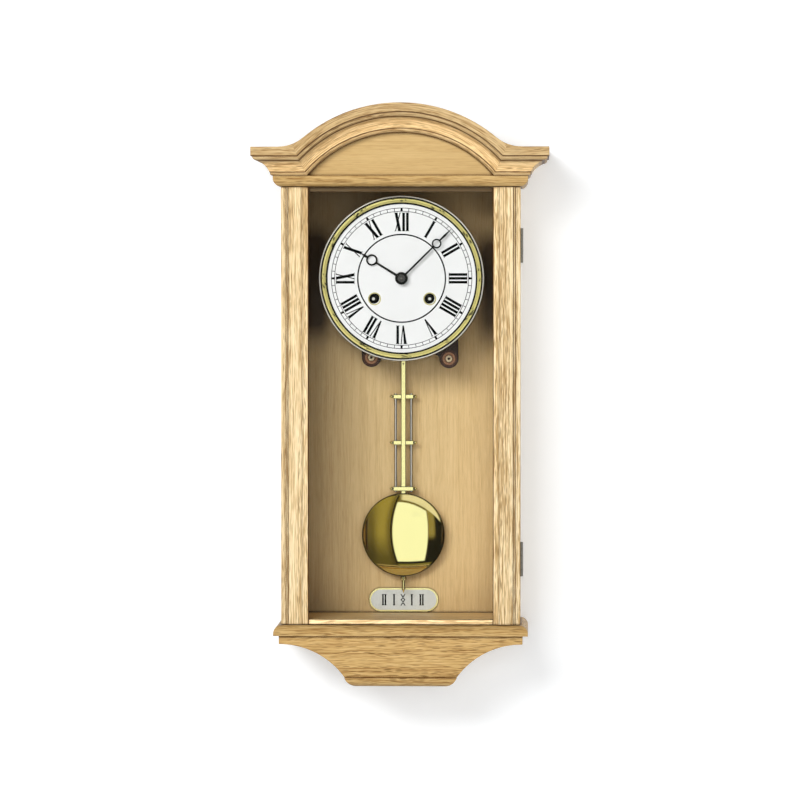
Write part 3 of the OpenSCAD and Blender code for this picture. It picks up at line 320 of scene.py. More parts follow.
def stile_creases(tree):
    """Painted shade in lines along a stile: at its opening, where its bevel starts, in its groove and at its
    step, and a painted highlight on the bevel.
    """
    x, y, z = tree.spots()
    across = abs(x)
    waver = (tree.noise(tree.join(z, x, y), (24, 90, 90), 2.0) - 0.5) * (0.8 * MM)
    found = tree.line(across, OPEN_X + 0.3 * MM, 0.8 * MM)
    found = found + tree.line(across + waver, BEVEL_X, 0.7 * MM) * 0.35
    found = found + tree.line(across + waver, GROOVE_X, 0.9 * MM) * 0.15
    found = found + tree.line(across, STEP_X, 0.7 * MM) * 0.35
    # Returns the painted shade lines and a painted highlight, a pale band on the bevel beside the opening.
    return found, tree.line(across, OPEN_X + 2.6 * MM, 3.2 * MM) * 0.3


def rail_painted_shade_and_light(tree):
    """Painted shade and light: the door's top rail is painted dark all over as the cornice's shadow, and its
    low rail painted pale.
    """
    x, y, z = tree.spots()
    low, high = -300 * MM, -100 * MM
    # Painted shadow on the top rail and painted light on the low rail.
    return tree.spread(z, low, high) * 0.9, tree.spread(z, high, low) * 0.8


def back_painted_shade_and_light(tree):
    """Painted shade on the back board, darker towards its top and its left and beside the dial, and painted
    light towards its right.
    """
    x, y, z = tree.spots()
    left = tree.spread(x, 0.0, -90 * MM, 0.0, 0.2)
    top = tree.spread(z, -160 * MM, -30 * MM, 0.0, 0.4)
    beside = tree.spread(abs(x), 70 * MM, 90 * MM, 0.0, 0.8)
    # Painted shade at the top, the left and beside the dial, and painted light towards the right.
    found = left + tree.line(z, DIAL.z - 10 * MM, 75 * MM) * beside + top
    return found, tree.spread(x, -30 * MM, 70 * MM, 0.0, 0.22)


# Wood

# The brown of the painted shade in creases and corners and on arrises.
CREASE_BROWN = srgb(84, 50, 14)
# The brown of the painted shade on the door rails and the back board.
PAINTED_SHADE_BROWN = srgb(58, 38, 14)
# How far painted light lifts the wood.
PALER = (1.6, 1.6, 1.6, 1.0)


def oak(name, place_of, seed, light, body, dark, figure=1.0, pores=0.6, shade=0.0, stain=None, wave=1.0,
        deep=CREASE_BROWN):
    """Satin-lacquered oak: growth bands, streaks and open pores, with painted shade in its corners and on its
    arrises, and the painted shade and light that its shading function gives.
    """
    def build(tree):
        place = tree.vector("ADD", place_of(tree), (seed, 1.7 * seed, 2.3 * seed))
        slow = tree.noise(place, (5, 14, 14), 1.0) - 0.5
        quick = tree.noise(place, (26, 80, 80), 1.0) - 0.5
        bend = (slow * 12 + quick * 2.2) * (wave * MM)
        along, across, depth = tree.parts(place)
        bent = tree.join(along, across + bend, depth + bend)
        bands = tree.noise(bent, (2.5, 150, 150), 2.0)
        streaks = tree.noise(bent, (16, 820, 820), 2.0, 0.6)
        fibres = tree.noise(bent, (60, 1400, 1400), 2.0)
        tone = bands * 0.2 + streaks * 0.45 + fibres * 0.35
        tone = tree.spread((tone - 0.5) * figure + 0.5, 0.35, 0.65)
        colour = tree.add("ShaderNodeValToRGB", {"stops": [(0.0, dark), (0.5, body), (1.0, light)]}, (tone,))
        porous = tree.spread(bands, 0.72, 0.42)
        pore = tree.spread(tree.cells(bent, (75, 800, 800)), 0.42, 0.2) * porous
        colour = tree.mix(pore * pores, colour, darker(dark, 0.5))
        # Painted shade in lines and painted light in bands, from the shading function.
        if stain:
            found, pale = stain(tree)
            colour = tree.mix(pale, colour, PALER, "MULTIPLY")
            colour = tree.mix(found, colour, deep)
        # Painted shade: darker in corners and between parts, found by ambient occlusion.
        open_air = corners(tree, 3 * MM)
        colour = tree.mix(tree.spread(open_air, 0.95, 0.55) * 0.95, colour, deep)
        soft, edge = rounded(tree, 0.45 * MM)
        # Painted shade: the arrises are darkened.
        arris = tree.spread(edge * open_air, 0.03, 0.25)
        colour = tree.mix(arris * 0.5, colour, deep)
        # Painted shade deep inside the case, found by ambient occlusion over a long reach.
        if shade:
            colour = tree.mix(tree.spread(corners(tree, 90 * MM), 0.62, 0.15) * shade, colour, deep)
        height = streaks * 0.4 + fibres * 0.3 - pore * 0.9
        return surface(
            tree, Base_Color=colour, Roughness=0.45 + pore * 0.3 + (streaks - 0.5) * 0.2,
            Specular_IOR_Level=0.25, Coat_Weight=0.08, Coat_Roughness=0.35,
            Normal=bumped(tree, height, 0.12 * MM, soft, 0.6))
    return material(name, build)


# Metals

def polished(name, colour, roughness=0.1, haze=0.08, tarnish=0.35, dark_at=None, outline=0.0, metallic=1.0):
    """Polished metal with fine hairlines and a dull film in its corners, with painted shade on its edges and
    at dark_at.
    """
    def build(tree):
        place = tree.place()
        hair = tree.noise(place, (900, 900, 5200), 2.0, 0.6)
        film = tree.noise(place, (55, 55, 55), 3.0, 0.6)
        corner_share = tree.spread(corners(tree, 2.5 * MM), 0.75, 0.15)
        worn = tree.mix(tree.spread(film, 0.52, 0.72) * 0.2, colour, darker(colour, 0.78))
        worn = tree.mix(corner_share * tarnish * 2, worn, darker(colour, 0.12))
        # Painted shade where dark_at says.
        if dark_at:
            worn = tree.mix(dark_at(tree), worn, darker(colour, 0.03))
        soft, edge = rounded(tree, 0.2 * MM + outline)
        # Painted shade: a dark outline on the edges.
        if outline:
            worn = tree.mix(tree.spread(edge, 0.02, 0.16), worn, darker(colour, 0.02))
        return surface(
            tree, Base_Color=worn, Metallic=metallic, Roughness=roughness + film * haze + corner_share * 0.3,
            Normal=bumped(tree, hair, 0.004 * MM, soft, 0.5))
    return material(name, build)


def ring_place(tree, centre):
    """Distance from an axis through centre that runs to the front, and the way round it."""
    x, y, z = tree.spots()
    across, up = x - centre.x, z - centre.z
    radius = tree.length(across, up)
    return radius, tree.math("ARCTAN2", across, up) * radius, y


def bob_edge(tree):
    """Where shade is painted on the bob: a dark line round its rim."""
    radius = ring_place(tree, BOB)[0]
    return tree.spread(radius, BOB_R - 1.3 * MM, BOB_R - 0.7 * MM)


ROD_W = 4.8 * MM
BAR_H = 4.6 * MM
BAR_REACH = 10.5 * MM


def near_edge(tree, away, half):
    """1 close to the edge of a flat piece that reaches half its width from its middle."""
    return tree.spread(away, half - 0.7 * MM, half - 0.3 * MM)


def bar_edges(tree):
    """Where shade is painted on the cross bars: along their edges, on the necks of the balls on their ends
    and round the balls' outer ends.
    """
    x, y, z = tree.spots()
    low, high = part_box("cross_bars")
    found = 0.0
    for bar in (low.z + BAR_H / 2, (low.z + high.z) / 2, high.z - BAR_H / 2):
        away = abs(z - bar)
        on_bar = tree.spread(away, BAR_H, BAR_H - 1 * MM)
        found = near_edge(tree, away, BAR_H / 2) * on_bar + found
    across = abs(x - BOB.x)
    neck = tree.line(across, BAR_REACH + 0.3 * MM, 0.9 * MM)
    return found + neck + tree.spread(across, high.x - BOB.x - 0.5 * MM, high.x - BOB.x - 0.2 * MM)


def thread_sides(tree):
    """Where shade is painted on the rod's edges and on the sides of the thread and of the nut under the bob;
    the nut is also dark down its middle.
    """
    x, y, z = tree.spots()
    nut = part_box("rating_nut")
    at_nut = tree.spread(z, nut[0].z - 0.3 * MM, nut[0].z)
    across = abs(x - BOB.x)
    sides = tree.spread(across - at_nut * (1.3 * MM), 0.7 * MM, 1.1 * MM)
    nut_middle = tree.spread(across, 0.7 * MM, 0.3 * MM) * at_nut
    low = (sides + nut_middle * 0.8) * tree.spread(z, nut[1].z + 0.6 * MM, nut[1].z)
    edges = near_edge(tree, across, ROD_W / 2) * tree.spread(z, BOB.z, BOB.z + 1 * MM)
    return low + edges * 0.85


def turned_rods(name):
    """Drawn steel rods, with a painted highlight along their middle and painted shade at their sides."""
    def build(tree):
        x, y, z = tree.spots()
        low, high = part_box("gridiron_rods")
        reach = (high.y - low.y) / 2
        away = abs(abs(x - BOB.x) - (high.x - BOB.x - reach))
        lines = tree.noise(tree.join(x, y, z), (2600, 2600, 120), 2.0)
        # Painted highlight along each rod's middle, fading to painted shade at its sides.
        tone = tree.mix(tree.spread(away, reach * 0.15, reach * 0.55), srgb(240, 236, 226), srgb(20, 18, 14))
        tone = tree.mix(tree.spread(lines, 0.4, 0.7) * 0.3, tone, srgb(90, 88, 84))
        return surface(
            tree, Base_Color=tone, Metallic=0.4, Roughness=0.3 + (lines - 0.5) * 0.2,
            Normal=bumped(tree, lines, 0.01 * MM))
    return material(name, build)


def bezel_brass(name):
    """Lacquered brass: a band with small pits in groups, painted shade as a black line in the groove and at
    the outer edge, and a painted highlight on the outer bead.
    """
    def build(tree):
        radius, sweep, y = ring_place(tree, DIAL)
        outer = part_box("bezel")[1].x - DIAL.x
        place = tree.join(sweep, radius, y)
        lines = tree.noise(place, (12, 1900, 0), 2.0, 0.6)
        group = tree.spread(tree.math("COSINE", sweep / radius * 12.0 + 0.4), 0.1, 0.7)
        pit = tree.spread(tree.cells(place, (240, 420, 0)), 0.5, 0.38) * group
        pit = pit * tree.spread(radius, outer - 3.4 * MM, outer - 4 * MM)
        tone = tree.mix(tree.spread(lines, 0.42, 0.6) * 0.3, BAND_BRASS, srgb(190, 180, 80))
        tone = tree.mix(tree.line(radius, outer - 5.4 * MM, 0.8 * MM) * 0.3, tone, srgb(150, 138, 44))
        tone = tree.mix(pit * 0.9, tone, srgb(36, 32, 10))
        # Painted highlight on the outer bead, and painted shade in the groove and at the bead's outer edge.
        tone = tree.mix(tree.spread(radius, outer - 2.2 * MM, outer - 1.8 * MM), tone, srgb(255, 252, 240))
        tone = tree.mix(tree.line(radius, outer - 2.5 * MM, 1.25 * MM), tone, srgb(8, 7, 3))
        tone = tree.mix(tree.spread(radius, outer - 0.6 * MM, outer - 0.35 * MM), tone, srgb(8, 7, 3))
        soft = rounded(tree, 0.2 * MM)[0]
        return surface(
            tree, Base_Color=tone, Metallic=0.3, Roughness=0.25 + pit * 0.3 + (lines - 0.5) * 0.1,
            Normal=bumped(tree, lines - pit, 0.02 * MM, soft, 0.5))
    return material(name, build)


def winding_steel(name):
    """Steel that is near black, with a bright disc in the middle of its end in front of the dial face."""
    def build(tree):
        x, y, z = tree.spots()
        scratches = tree.noise(tree.join(x, y, z), (1800, 1800, 400), 3.0, 0.6)
        key = middle("time_winding_arbor")
        aside, up = abs(x - DIAL.x) - abs(key.x - DIAL.x), z - key.z
        ahead = tree.spread(y, DIAL_FACE + 1.6 * MM, DIAL_FACE - 0.4 * MM)
        bright = ahead * tree.spread(tree.length(aside, up), 1.9 * MM, 1.2 * MM)
        tone = tree.mix(bright, srgb(14, 14, 14), srgb(225, 225, 220))
        tone = tree.mix(tree.spread(scratches, 0.5, 0.7) * 0.3, tone, darker(STEEL, 0.1))
        return surface(
            tree, Base_Color=tone, Metallic=bright * 0.5,
            Roughness=0.5 - bright * 0.2 + (scratches - 0.5) * 0.2, Specular_IOR_Level=0.1,
            Normal=bumped(tree, scratches, 0.01 * MM))
    return material(name, build)


def brushed(name, colour, stretch, roughness=0.32, metallic=1.0, edge_colour=None, round_off=0.25 * MM):
    """Metal with brush lines, duller where it is touched, with painted shade in its corners and, given
    edge_colour, a painted dark outline on its edges.
    """
    def build(tree):
        place = tree.place()
        lines = tree.noise(place, stretch, 3.0, 0.65)
        film = tree.noise(place, (70, 70, 70), 3.0, 0.6)
        corner_share = tree.spread(corners(tree, 3 * MM), 0.8, 0.2)
        soft, edge = rounded(tree, round_off)
        tone = tree.mix(tree.spread(lines, 0.35, 0.7) * 0.5, colour, darker(colour, 0.72))
        tone = tree.mix(tree.spread(film, 0.5, 0.7) * 0.3, tone, darker(colour, 0.6))
        # Painted shade: the edges take edge_colour, then darken further.
        if edge_colour:
            tone = tree.mix(tree.spread(edge, 0.01, 0.08), tone, edge_colour)
            tone = tree.mix(tree.spread(edge, 0.12, 0.3), tone, darker(colour, 0.12))
        # Painted shade in the corners.
        tone = tree.mix(corner_share * 0.6, tone, darker(colour, 0.15))
        return surface(
            tree, Base_Color=tone, Metallic=metallic, Roughness=roughness + (lines - 0.5) * 0.25 + film * 0.1,
            Normal=bumped(tree, lines, 0.02 * MM, soft, 0.5))
    return material(name, build)


LUG_LEFT = Vector((-31.8 * MM, 0, -82 * MM))
LUG_RIGHT = Vector((48.6 * MM, 0, -83.2 * MM))
# Rings round each lug's screw, as (radius in mm, colour): a dark middle, a painted highlight on the screw
# head, the washer, and painted shade round it and at the lug's edge.
LUG_RINGS = [(0.0, (30, 20, 12)), (1.2, (30, 20, 12)), (1.7, (222, 205, 170)), (2.9, (226, 206, 168)),
             (3.7, (60, 36, 24)), (4.6, (150, 104, 74)), (6.2, (176, 128, 94)), (6.8, (62, 36, 26)),
             (8.6, (72, 42, 32)), (9.3, (24, 14, 10)), (12.0, (40, 24, 18))]


def lug_bronze(name):
    """Browned plate metal with rings painted round the screws in its two lugs, and a painted dark outline on
    its edges.
    """
    def build(tree):
        x, y, z = tree.spots()
        place = tree.join(x, y, z)
        lines = tree.noise(place, (500, 500, 900), 3.0, 0.65)
        film = tree.noise(place, (70, 70, 70), 3.0, 0.6)
        at_right = x > DIAL.x
        lug = DIAL + LUG_LEFT
        gap = LUG_RIGHT - LUG_LEFT
        across, up = x - (at_right * gap.x + lug.x), z - (at_right * gap.z + lug.z)
        reach = LUG_RINGS[-1][0]
        stops = [(r / reach, srgb(*colour)) for r, colour in LUG_RINGS]
        rings = tree.add("ShaderNodeValToRGB", {"stops": stops}, (tree.length(across, up) / (reach * MM),))
        tone = tree.mix(tree.spread(lines, 0.35, 0.7) * 0.4, rings, srgb(40, 26, 18))
        tone = tree.mix(tree.spread(film, 0.5, 0.7) * 0.3, tone, srgb(60, 34, 24))
        soft, edge = rounded(tree, 0.6 * MM)
        # Painted shade: a dark outline on the edges.
        tone = tree.mix(tree.spread(edge, 0.05, 0.3) * 0.8, tone, srgb(24, 14, 10))
        return surface(
            tree, Base_Color=tone, Metallic=0.3, Roughness=0.38 + (lines - 0.5) * 0.25 + film * 0.1,
            Normal=bumped(tree, lines, 0.02 * MM, soft, 0.5))
    return material(name, build)


def painted(name, colour, roughness, fleck, specular=0.3):
    """Sprayed paint: a faint orange peel, dust flecks, and edges drawn toward the fleck colour, as rubbed
    wear and, on the black paints, a painted highlight.
    """
    def build(tree):
        place = tree.place()
        peel = tree.noise(place, (900, 900, 900), 2.0)
        cloud = tree.noise(place, (30, 30, 30), 3.0, 0.6)
        dust = tree.spread(tree.cells(place, (260, 260, 260)), 0.1, 0.04)
        soft, edge = rounded(tree, 0.15 * MM)
        tone = tree.mix(tree.spread(cloud, 0.4, 0.75) * 0.3, colour, fleck)
        tone = tree.mix(dust * 0.25, tone, fleck)
        # Edges toward the fleck colour: rubbed wear, and on the black paints a painted highlight.
        tone = tree.mix(tree.spread(edge, 0.03, 0.3) * 0.4, tone, fleck)
        return surface(
            tree, Base_Color=tone, Roughness=roughness + (cloud - 0.5) * 0.15, Specular_IOR_Level=specular,
            Normal=bumped(tree, peel, 0.006 * MM, soft, 0.4))
    return material(name, build)


def clear_glass(name):
    """Window glass: nearly clear from the front, bright at a slant, with a few faint smears."""
    def build(tree):
        smear = tree.spread(tree.noise(tree.place(), (9, 9, 4), 3.0, 0.6), 0.5, 0.8)
        slant = tree.add("ShaderNodeFresnel", {}, {"IOR": 1.42})
        return surface(
            tree, Base_Color=srgb(40, 46, 44), Roughness=0.02 + smear * 0.05, Specular_IOR_Level=0.5,
            Alpha=0.02 + slant * 0.8 + smear * 0.01)
    return material(name, build)


# Meshes

def link(name, data):
    """A new object in the scene."""
    made = bpy.data.objects.new(name, data)
    bpy.context.scene.collection.objects.link(made)
    return made


def closed_mesh(name, mesh):
    """A bmesh as plain mesh data, its faces outwards."""
    bmesh.ops.recalc_face_normals(mesh, faces=mesh.faces)
    data = bpy.data.meshes.new(name)
    mesh.to_mesh(data)
    mesh.free()
    return data


def fitted(name, data, body):
    """An object that rides on a body."""
    made = link(name, data)
    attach(made, body)
    return made


def piece(name, mesh, finish_name, body, smooth_angle=None):
    """Turns a bmesh into a finished piece."""
    data = closed_mesh(name, mesh)
    data.materials.append(finishes[finish_name])
    if smooth_angle:
        data.shade_smooth()
        data.set_sharp_from_angle(angle=math.radians(smooth_angle))
    return fitted(name, data, body)


def oblong(left, low, right, high):
    return [(left, low), (right, low), (right, high), (left, high)]


def add_plate(mesh, outline, back, thick):
    """Adds a flat prism that faces the front: outline holds (x, z) points."""
    rear = [mesh.verts.new((x, back, z)) for x, z in outline]
    face = [mesh.verts.new((x, back - thick, z)) for x, z in outline]
    mesh.faces.new(face)
    mesh.faces.new(rear[::-1])
    for i in range(len(outline)):
        j = (i + 1) % len(outline)
        mesh.faces.new((rear[i], rear[j], face[j], face[i]))


def add_lathe(mesh, profile, centre, steps=96, closed=False):
    """Turns a profile of (radius, how far forward) points about an axis from centre to the front."""
    rows = []
    for radius, ahead in profile:
        if radius == 0:
            rows.append([mesh.verts.new((centre.x, centre.y - ahead, centre.z))])
            continue
        turns = [2 * math.pi * k / steps for k in range(steps)]
        rows.append([mesh.verts.new((centre.x + radius * math.sin(a), centre.y - ahead,
                                     centre.z + radius * math.cos(a))) for a in turns])
    pairs = list(zip(rows, rows[1:]))
    if closed:
        pairs.append((rows[-1], rows[0]))
    for first, second in pairs:
        for k in range(steps):
            n = (k + 1) % steps
            ends = [first[k % len(first)], first[n % len(first)]]
            ends += [second[n % len(second)], second[k % len(second)]]
            mesh.faces.new(list(dict.fromkeys(ends)))


def arc(start, end, bulge, steps):
    """Points on an arc from start to end that bows out by bulge to the left of the way."""
    (x0, z0), (x1, z1) = start, end
    span = math.hypot(x1 - x0, z1 - z0)
    radius = (span * span / 4 + bulge * bulge) / (2 * bulge)
    half = math.asin(span / 2 / abs(radius))
    ux, uz = (x1 - x0) / span, (z1 - z0) / span
    points = []
    for k in range(steps + 1):
        turn = (2 * k / steps - 1) * half
        out = bulge - abs(radius) * (1 - math.cos(turn)) * math.copysign(1, bulge)
        way = abs(radius) * math.sin(turn)
        points.append(((x0 + x1) / 2 + ux * way - uz * out, (z0 + z1) / 2 + uz * way + ux * out))
    return points


# What repeats round a circle

def round_tree(name):
    """A Geometry Nodes tree that sets copies of a piece round a circle, each with its top outwards."""
    group = bpy.data.node_groups.new(name, "GeometryNodeTree")
    face = group.interface
    face.new_socket("Geometry", in_out="INPUT", socket_type="NodeSocketGeometry")
    for label, kind in (("Count", "Int"), ("Radius", "Float"), ("Centre", "Vector"), ("Finish", "Material")):
        face.new_socket(label, in_out="INPUT", socket_type="NodeSocket" + kind)
    face.new_socket("Geometry", in_out="OUTPUT", socket_type="NodeSocketGeometry")
    tree = Tree(group)
    copy = tree.add("NodeGroupInput")
    count, radius = copy.other("Count"), copy.other("Radius")
    turn = tree.add("GeometryNodeInputIndex") * (2 * math.pi) / count
    spot = tree.join(tree.math("SINE", turn) * radius, 0.0, tree.math("COSINE", turn) * radius)
    points = tree.add("GeometryNodePoints", {}, {"Count": count, "Position": spot})
    spin = tree.join(0.0, turn, 0.0)
    values = {"Points": points, "Instance": copy, "Rotation": spin}
    copies = tree.add("GeometryNodeInstanceOnPoints", {}, values)
    solid = tree.add("GeometryNodeRealizeInstances", {}, (copies,))
    moved = tree.add("GeometryNodeTransform", {}, {"Geometry": solid, "Translation": copy.other("Centre")})
    done = tree.add("GeometryNodeSetMaterial", {}, {"Geometry": moved, "Material": copy.other("Finish")})
    tree.add("NodeGroupOutput", {}, {"Geometry": done})
    return group


ROUND = round_tree("copies_round_a_circle")


def copies_round(name, mesh, finish_name, body, count, radius, centre):
    """Copies of a bmesh round a circle, as one plain mesh that rides on a body."""
    maker = link(name + "_maker", closed_mesh(name + "_one", mesh))
    modifier = maker.modifiers.new("copies", "NODES")
    modifier.node_group = ROUND
    wanted = {"Count": count, "Radius": radius, "Centre": tuple(centre), "Finish": finishes[finish_name]}
    for socket in ROUND.interface.items_tree:
        if socket.in_out == "INPUT" and socket.name in wanted:
            modifier[socket.identifier] = wanted[socket.name]
    solved = maker.evaluated_get(bpy.context.evaluated_depsgraph_get())
    plain = bpy.data.meshes.new_from_object(solved)
    bpy.data.objects.remove(maker)
    plain.name = name
    return fitted(name, plain, body)


# Finishes

BRASS = srgb(252, 244, 178)
BAND_BRASS = srgb(255, 244, 158)
BRASS_DULL = srgb(214, 186, 118)
STEEL = srgb(176, 176, 172)

STILE = dict(light=srgb(248, 226, 182), body=srgb(227, 198, 149), dark=srgb(176, 142, 92))
TRIM = dict(light=srgb(232, 203, 152), body=srgb(204, 170, 118), dark=srgb(150, 112, 64))
BASE = dict(light=srgb(220, 186, 127), body=srgb(199, 162, 101), dark=srgb(148, 107, 56))
INSIDE = dict(light=srgb(226, 199, 148), body=srgb(212, 184, 132), dark=srgb(190, 158, 106))
PANEL = dict(light=srgb(232, 200, 142), body=srgb(221, 187, 127), dark=srgb(204, 167, 108))

finishes = {}


def finish(make, name, *values, **options):
    """Keeps a material under its name."""
    finishes[name] = make(name, *values, **options)


# The shares given to scaled are partly the wood's own differences and partly painted light and shade: the
# crown and the tympanum, where most light falls, are darkened most.
finish(oak, "oak_left_stile", along_z, 1.3, **scaled(STILE, 0.93), figure=1.35, stain=stile_creases, wave=0.3)
finish(oak, "oak_right_stile", along_z, 4.1, **scaled(STILE, 0.92), figure=1.7, stain=stile_creases, wave=0.4)
finish(oak, "oak_sides", along_z, 2.2, **STILE, wave=0.5)
finish(oak, "oak_door_rails", along_x, 5.7, **STILE, stain=rail_painted_shade_and_light, deep=PAINTED_SHADE_BROWN)
finish(oak, "oak_crown", over_the_arch, 3.4, **scaled(TRIM, 0.82), figure=0.9, stain=crown_creases)
finish(oak, "oak_crown_returns", along_y, 6.2, **scaled(TRIM, 0.82), figure=0.9, stain=crown_creases)
finish(oak, "oak_tympanum", along_x, 7.5, **scaled(PANEL, 0.77), figure=0.5, pores=0.1)
finish(oak, "oak_rails", round_the_front, 8.8, **scaled(BASE, 0.86), figure=1.0)
finish(oak, "oak_apron", along_x, 9.1, **scaled(BASE, 0.93), figure=0.9, pores=0.8)
finish(oak, "oak_coves", along_y, 9.9, **BASE)
finish(oak, "oak_back", along_z, 11.3, **scaled(INSIDE, 1.06), figure=0.5, pores=0.12, shade=0.6,
       stain=back_painted_shade_and_light, wave=0.4, deep=PAINTED_SHADE_BROWN)
finish(oak, "oak_floor", along_x, 12.6, **scaled(INSIDE, 1.3), figure=0.6, pores=0.3)
finish(polished, "brass", BRASS)
finish(polished, "rim_brass", BRASS, 0.2, tarnish=0.05, outline=0.2 * MM, metallic=0.6)
finish(polished, "pendulum_brass", BRASS, 0.12, 0.05, 0.2, thread_sides, 0.7 * MM, 0.9)
finish(polished, "bob_brass", BRASS, 0.015, 0.03, 0.1, bob_edge)
finish(polished, "bar_brass", BRASS, 0.12, 0.05, 0.2, bar_edges, 0.1 * MM, 0.9)
finish(turned_rods, "rod_steel")
finish(bezel_brass, "bezel_brass")
finish(winding_steel, "winding_steel")
finish(brushed, "brass_movement", BRASS_DULL, (300, 300, 3200))
finish(lug_bronze, "bronze")
finish(lug_bronze, "screw_bronze")
finish(brushed, "steel", STEEL, (2600, 900, 200), 0.28)
finish(brushed, "hinge", srgb(140, 137, 128), (900, 900, 900), 0.34, 0.4, srgb(60, 58, 54), 0.5 * MM)
finish(painted, "black", srgb(8, 8, 8), 0.36, srgb(38, 37, 35), 0.15)
finish(painted, "nut_black", srgb(70, 70, 68), 0.3, srgb(150, 150, 148), 0.5)
finish(painted, "ink", srgb(6, 6, 7), 0.6, srgb(20, 20, 21), 0.05)
finish(painted, "grey_ink", srgb(34, 34, 36), 0.6, srgb(60, 60, 60), 0.05)
finish(painted, "enamel", srgb(251, 252, 251), 0.35, srgb(240, 241, 238), 0.3)
finish(brushed, "silvered", srgb(222, 228, 226), (4200, 300, 300), 0.45, 0.1)
finish(clear_glass, "glass")
finish(painted, "magnet", srgb(34, 34, 35), 0.55, srgb(70, 70, 70))

WORN_BY = {
    "oak_left_stile": ["door_left_stile"],
    "oak_right_stile": ["door_right_stile"],
    "oak_sides": ["left_side_panel", "right_side_panel"],
    "oak_door_rails": ["door_rails"],
    "oak_crown": ["crown_moulding"],
    "oak_crown_returns": ["crown_returns"],
    "oak_tympanum": ["tympanum_panel"],
    "oak_rails": ["cornice_rail", "base_moulding"],
    "oak_apron": ["apron_front", "foot_moulding"],
    "oak_coves": ["apron_coves"],
    "oak_back": ["back_board"],
    "oak_floor": ["top_board", "bottom_board"],
    "brass": ["bezel", "bob", "bell"],
    "rim_brass": ["beat_plate"],
    "pendulum_brass": ["pendulum_rod", "rating_nut"],
    "bar_brass": ["cross_bars"],
    "rod_steel": ["gridiron_rods"],
    "brass_movement": [
        "back_plate", "pillars", "suspension_cock", "time_barrel", "time_second_wheel", "centre_wheel",
        "third_wheel", "escape_wheel", "minute_wheel", "hour_wheel", "strike_barrel", "strike_second_wheel",
        "pin_wheel", "gathering_wheel", "warning_wheel", "fly"],
    "bronze": ["front_plate", "movement_brackets"],
    "screw_bronze": ["movement_screws"],
    "winding_steel": ["time_winding_arbor", "strike_winding_arbor"],
    "steel": [
        "hanger_plate", "case_screws", "strike_plate", "bell_post", "suspension_spring", "anchor",
        "cannon_pinion", "hammer"],
    "hinge": ["case_hinge_leaves", "door_hinge_leaves"],
    "black": ["minute_hand", "hour_hand"],
    "enamel": ["dial_plate"],
    "glass": ["door_glass"],
    "magnet": ["catch_magnet"],
}


def dress_frame():
    """Gives every CAD node its finish."""
    for finish_name, names in WORN_BY.items():
        for name in names:
            held = nodes[name].data.materials
            held.clear()
            held.append(finishes[finish_name])


# Dial printing

PRINT = 0.04 * MM
NUMERALS = ["XII", "I", "II", "III", "IIII", "V", "VI", "VII", "VIII", "IX", "X", "XI"]
NUMERAL_FOOT = 48.7 * MM
NUMERAL_H = 19.2 * MM
BAR_W = 2.7 * MM
SLANT_W = 3 * MM
HAIR_W = 1.0 * MM
LETTER_W = 6.8 * MM
LETTER_GAP = 1.25 * MM
SERIF_H = 0.5 * MM
HAIR_SERIF = 2.2 * MM


def slanted(top, foot, top_w, foot_w):
    """A stroke from the foot of the letters to their top, each end centred on the place given."""
    return [(foot - foot_w / 2, 0), (foot + foot_w / 2, 0), (top + top_w / 2, NUMERAL_H),
            (top - top_w / 2, NUMERAL_H)]


def serif(place, width, high):
    low = NUMERAL_H - SERIF_H if high else 0
    return oblong(place - width / 2, low, place + width / 2, low + SERIF_H)


def letter(kind):
    """Strokes of a letter with its left edge at 0, thick ones first, and its width."""
    left, right, centre = SLANT_W / 2, LETTER_W - HAIR_W, LETTER_W / 2
    if kind == "I":
        thick = [slanted(BAR_W / 2, BAR_W / 2, BAR_W, BAR_W)]
        thin = [serif(BAR_W / 2, 1.45 * BAR_W, high) for high in (False, True)]
        return thick, thin, BAR_W
    if kind == "V":
        thick = [slanted(left, centre + 0.3 * MM, SLANT_W, 1.3 * MM)]
        thin = [slanted(right, centre + 0.5 * MM, HAIR_W, HAIR_W)]
    else:
        thick = [slanted(left, LETTER_W - left, SLANT_W, SLANT_W)]
        thin = [slanted(right, HAIR_W, HAIR_W, HAIR_W), serif(HAIR_W, HAIR_SERIF, False),
                serif(LETTER_W - left, 1.4 * SLANT_W, False)]
    return thick, thin + [serif(left, 1.4 * SLANT_W, True), serif(right, HAIR_SERIF, True)], LETTER_W


def add_numeral(mesh, letters, turn):
    """Adds one numeral that stands on its circle at a turn clockwise from the top."""
    widths = [letter(kind)[2] for kind in letters]
    x = -(sum(widths) + LETTER_GAP * (len(letters) - 1)) / 2
    for kind in letters:
        thick, thin, width = letter(kind)
        for strokes, share in ((thick, 1.0), (thin, 0.8)):
            for stroke in strokes:
                points = []
                for px, pz in stroke:
                    side, out = x + px, NUMERAL_FOOT + pz
                    points.append((DIAL.x + side * math.cos(turn) + out * math.sin(turn),
                                   DIAL.z - side * math.sin(turn) + out * math.cos(turn)))
                add_plate(mesh, points, DIAL_FACE, PRINT * share)
        x += width + LETTER_GAP


def make_numerals():
    mesh = bmesh.new()
    for hour, letters in enumerate(NUMERALS):
        add_numeral(mesh, letters, math.radians(30 * hour))
    piece("dial_numerals", mesh, "ink", "case")


def add_band(mesh, radius, width, thick):
    """Adds a printed circle of that radius along its middle."""
    add_lathe(mesh, [(radius - width / 2, 0), (radius - width / 2, thick), (radius + width / 2, thick),
                     (radius + width / 2, 0)], DIAL_MIDDLE, 180, True)


TRACK_OUT = 72.6 * MM
TRACK_IN = 69.2 * MM
TRACK_LINE = 0.62 * MM
CIRCLE_R = 45.3 * MM
CIRCLE_W = 1.45 * MM


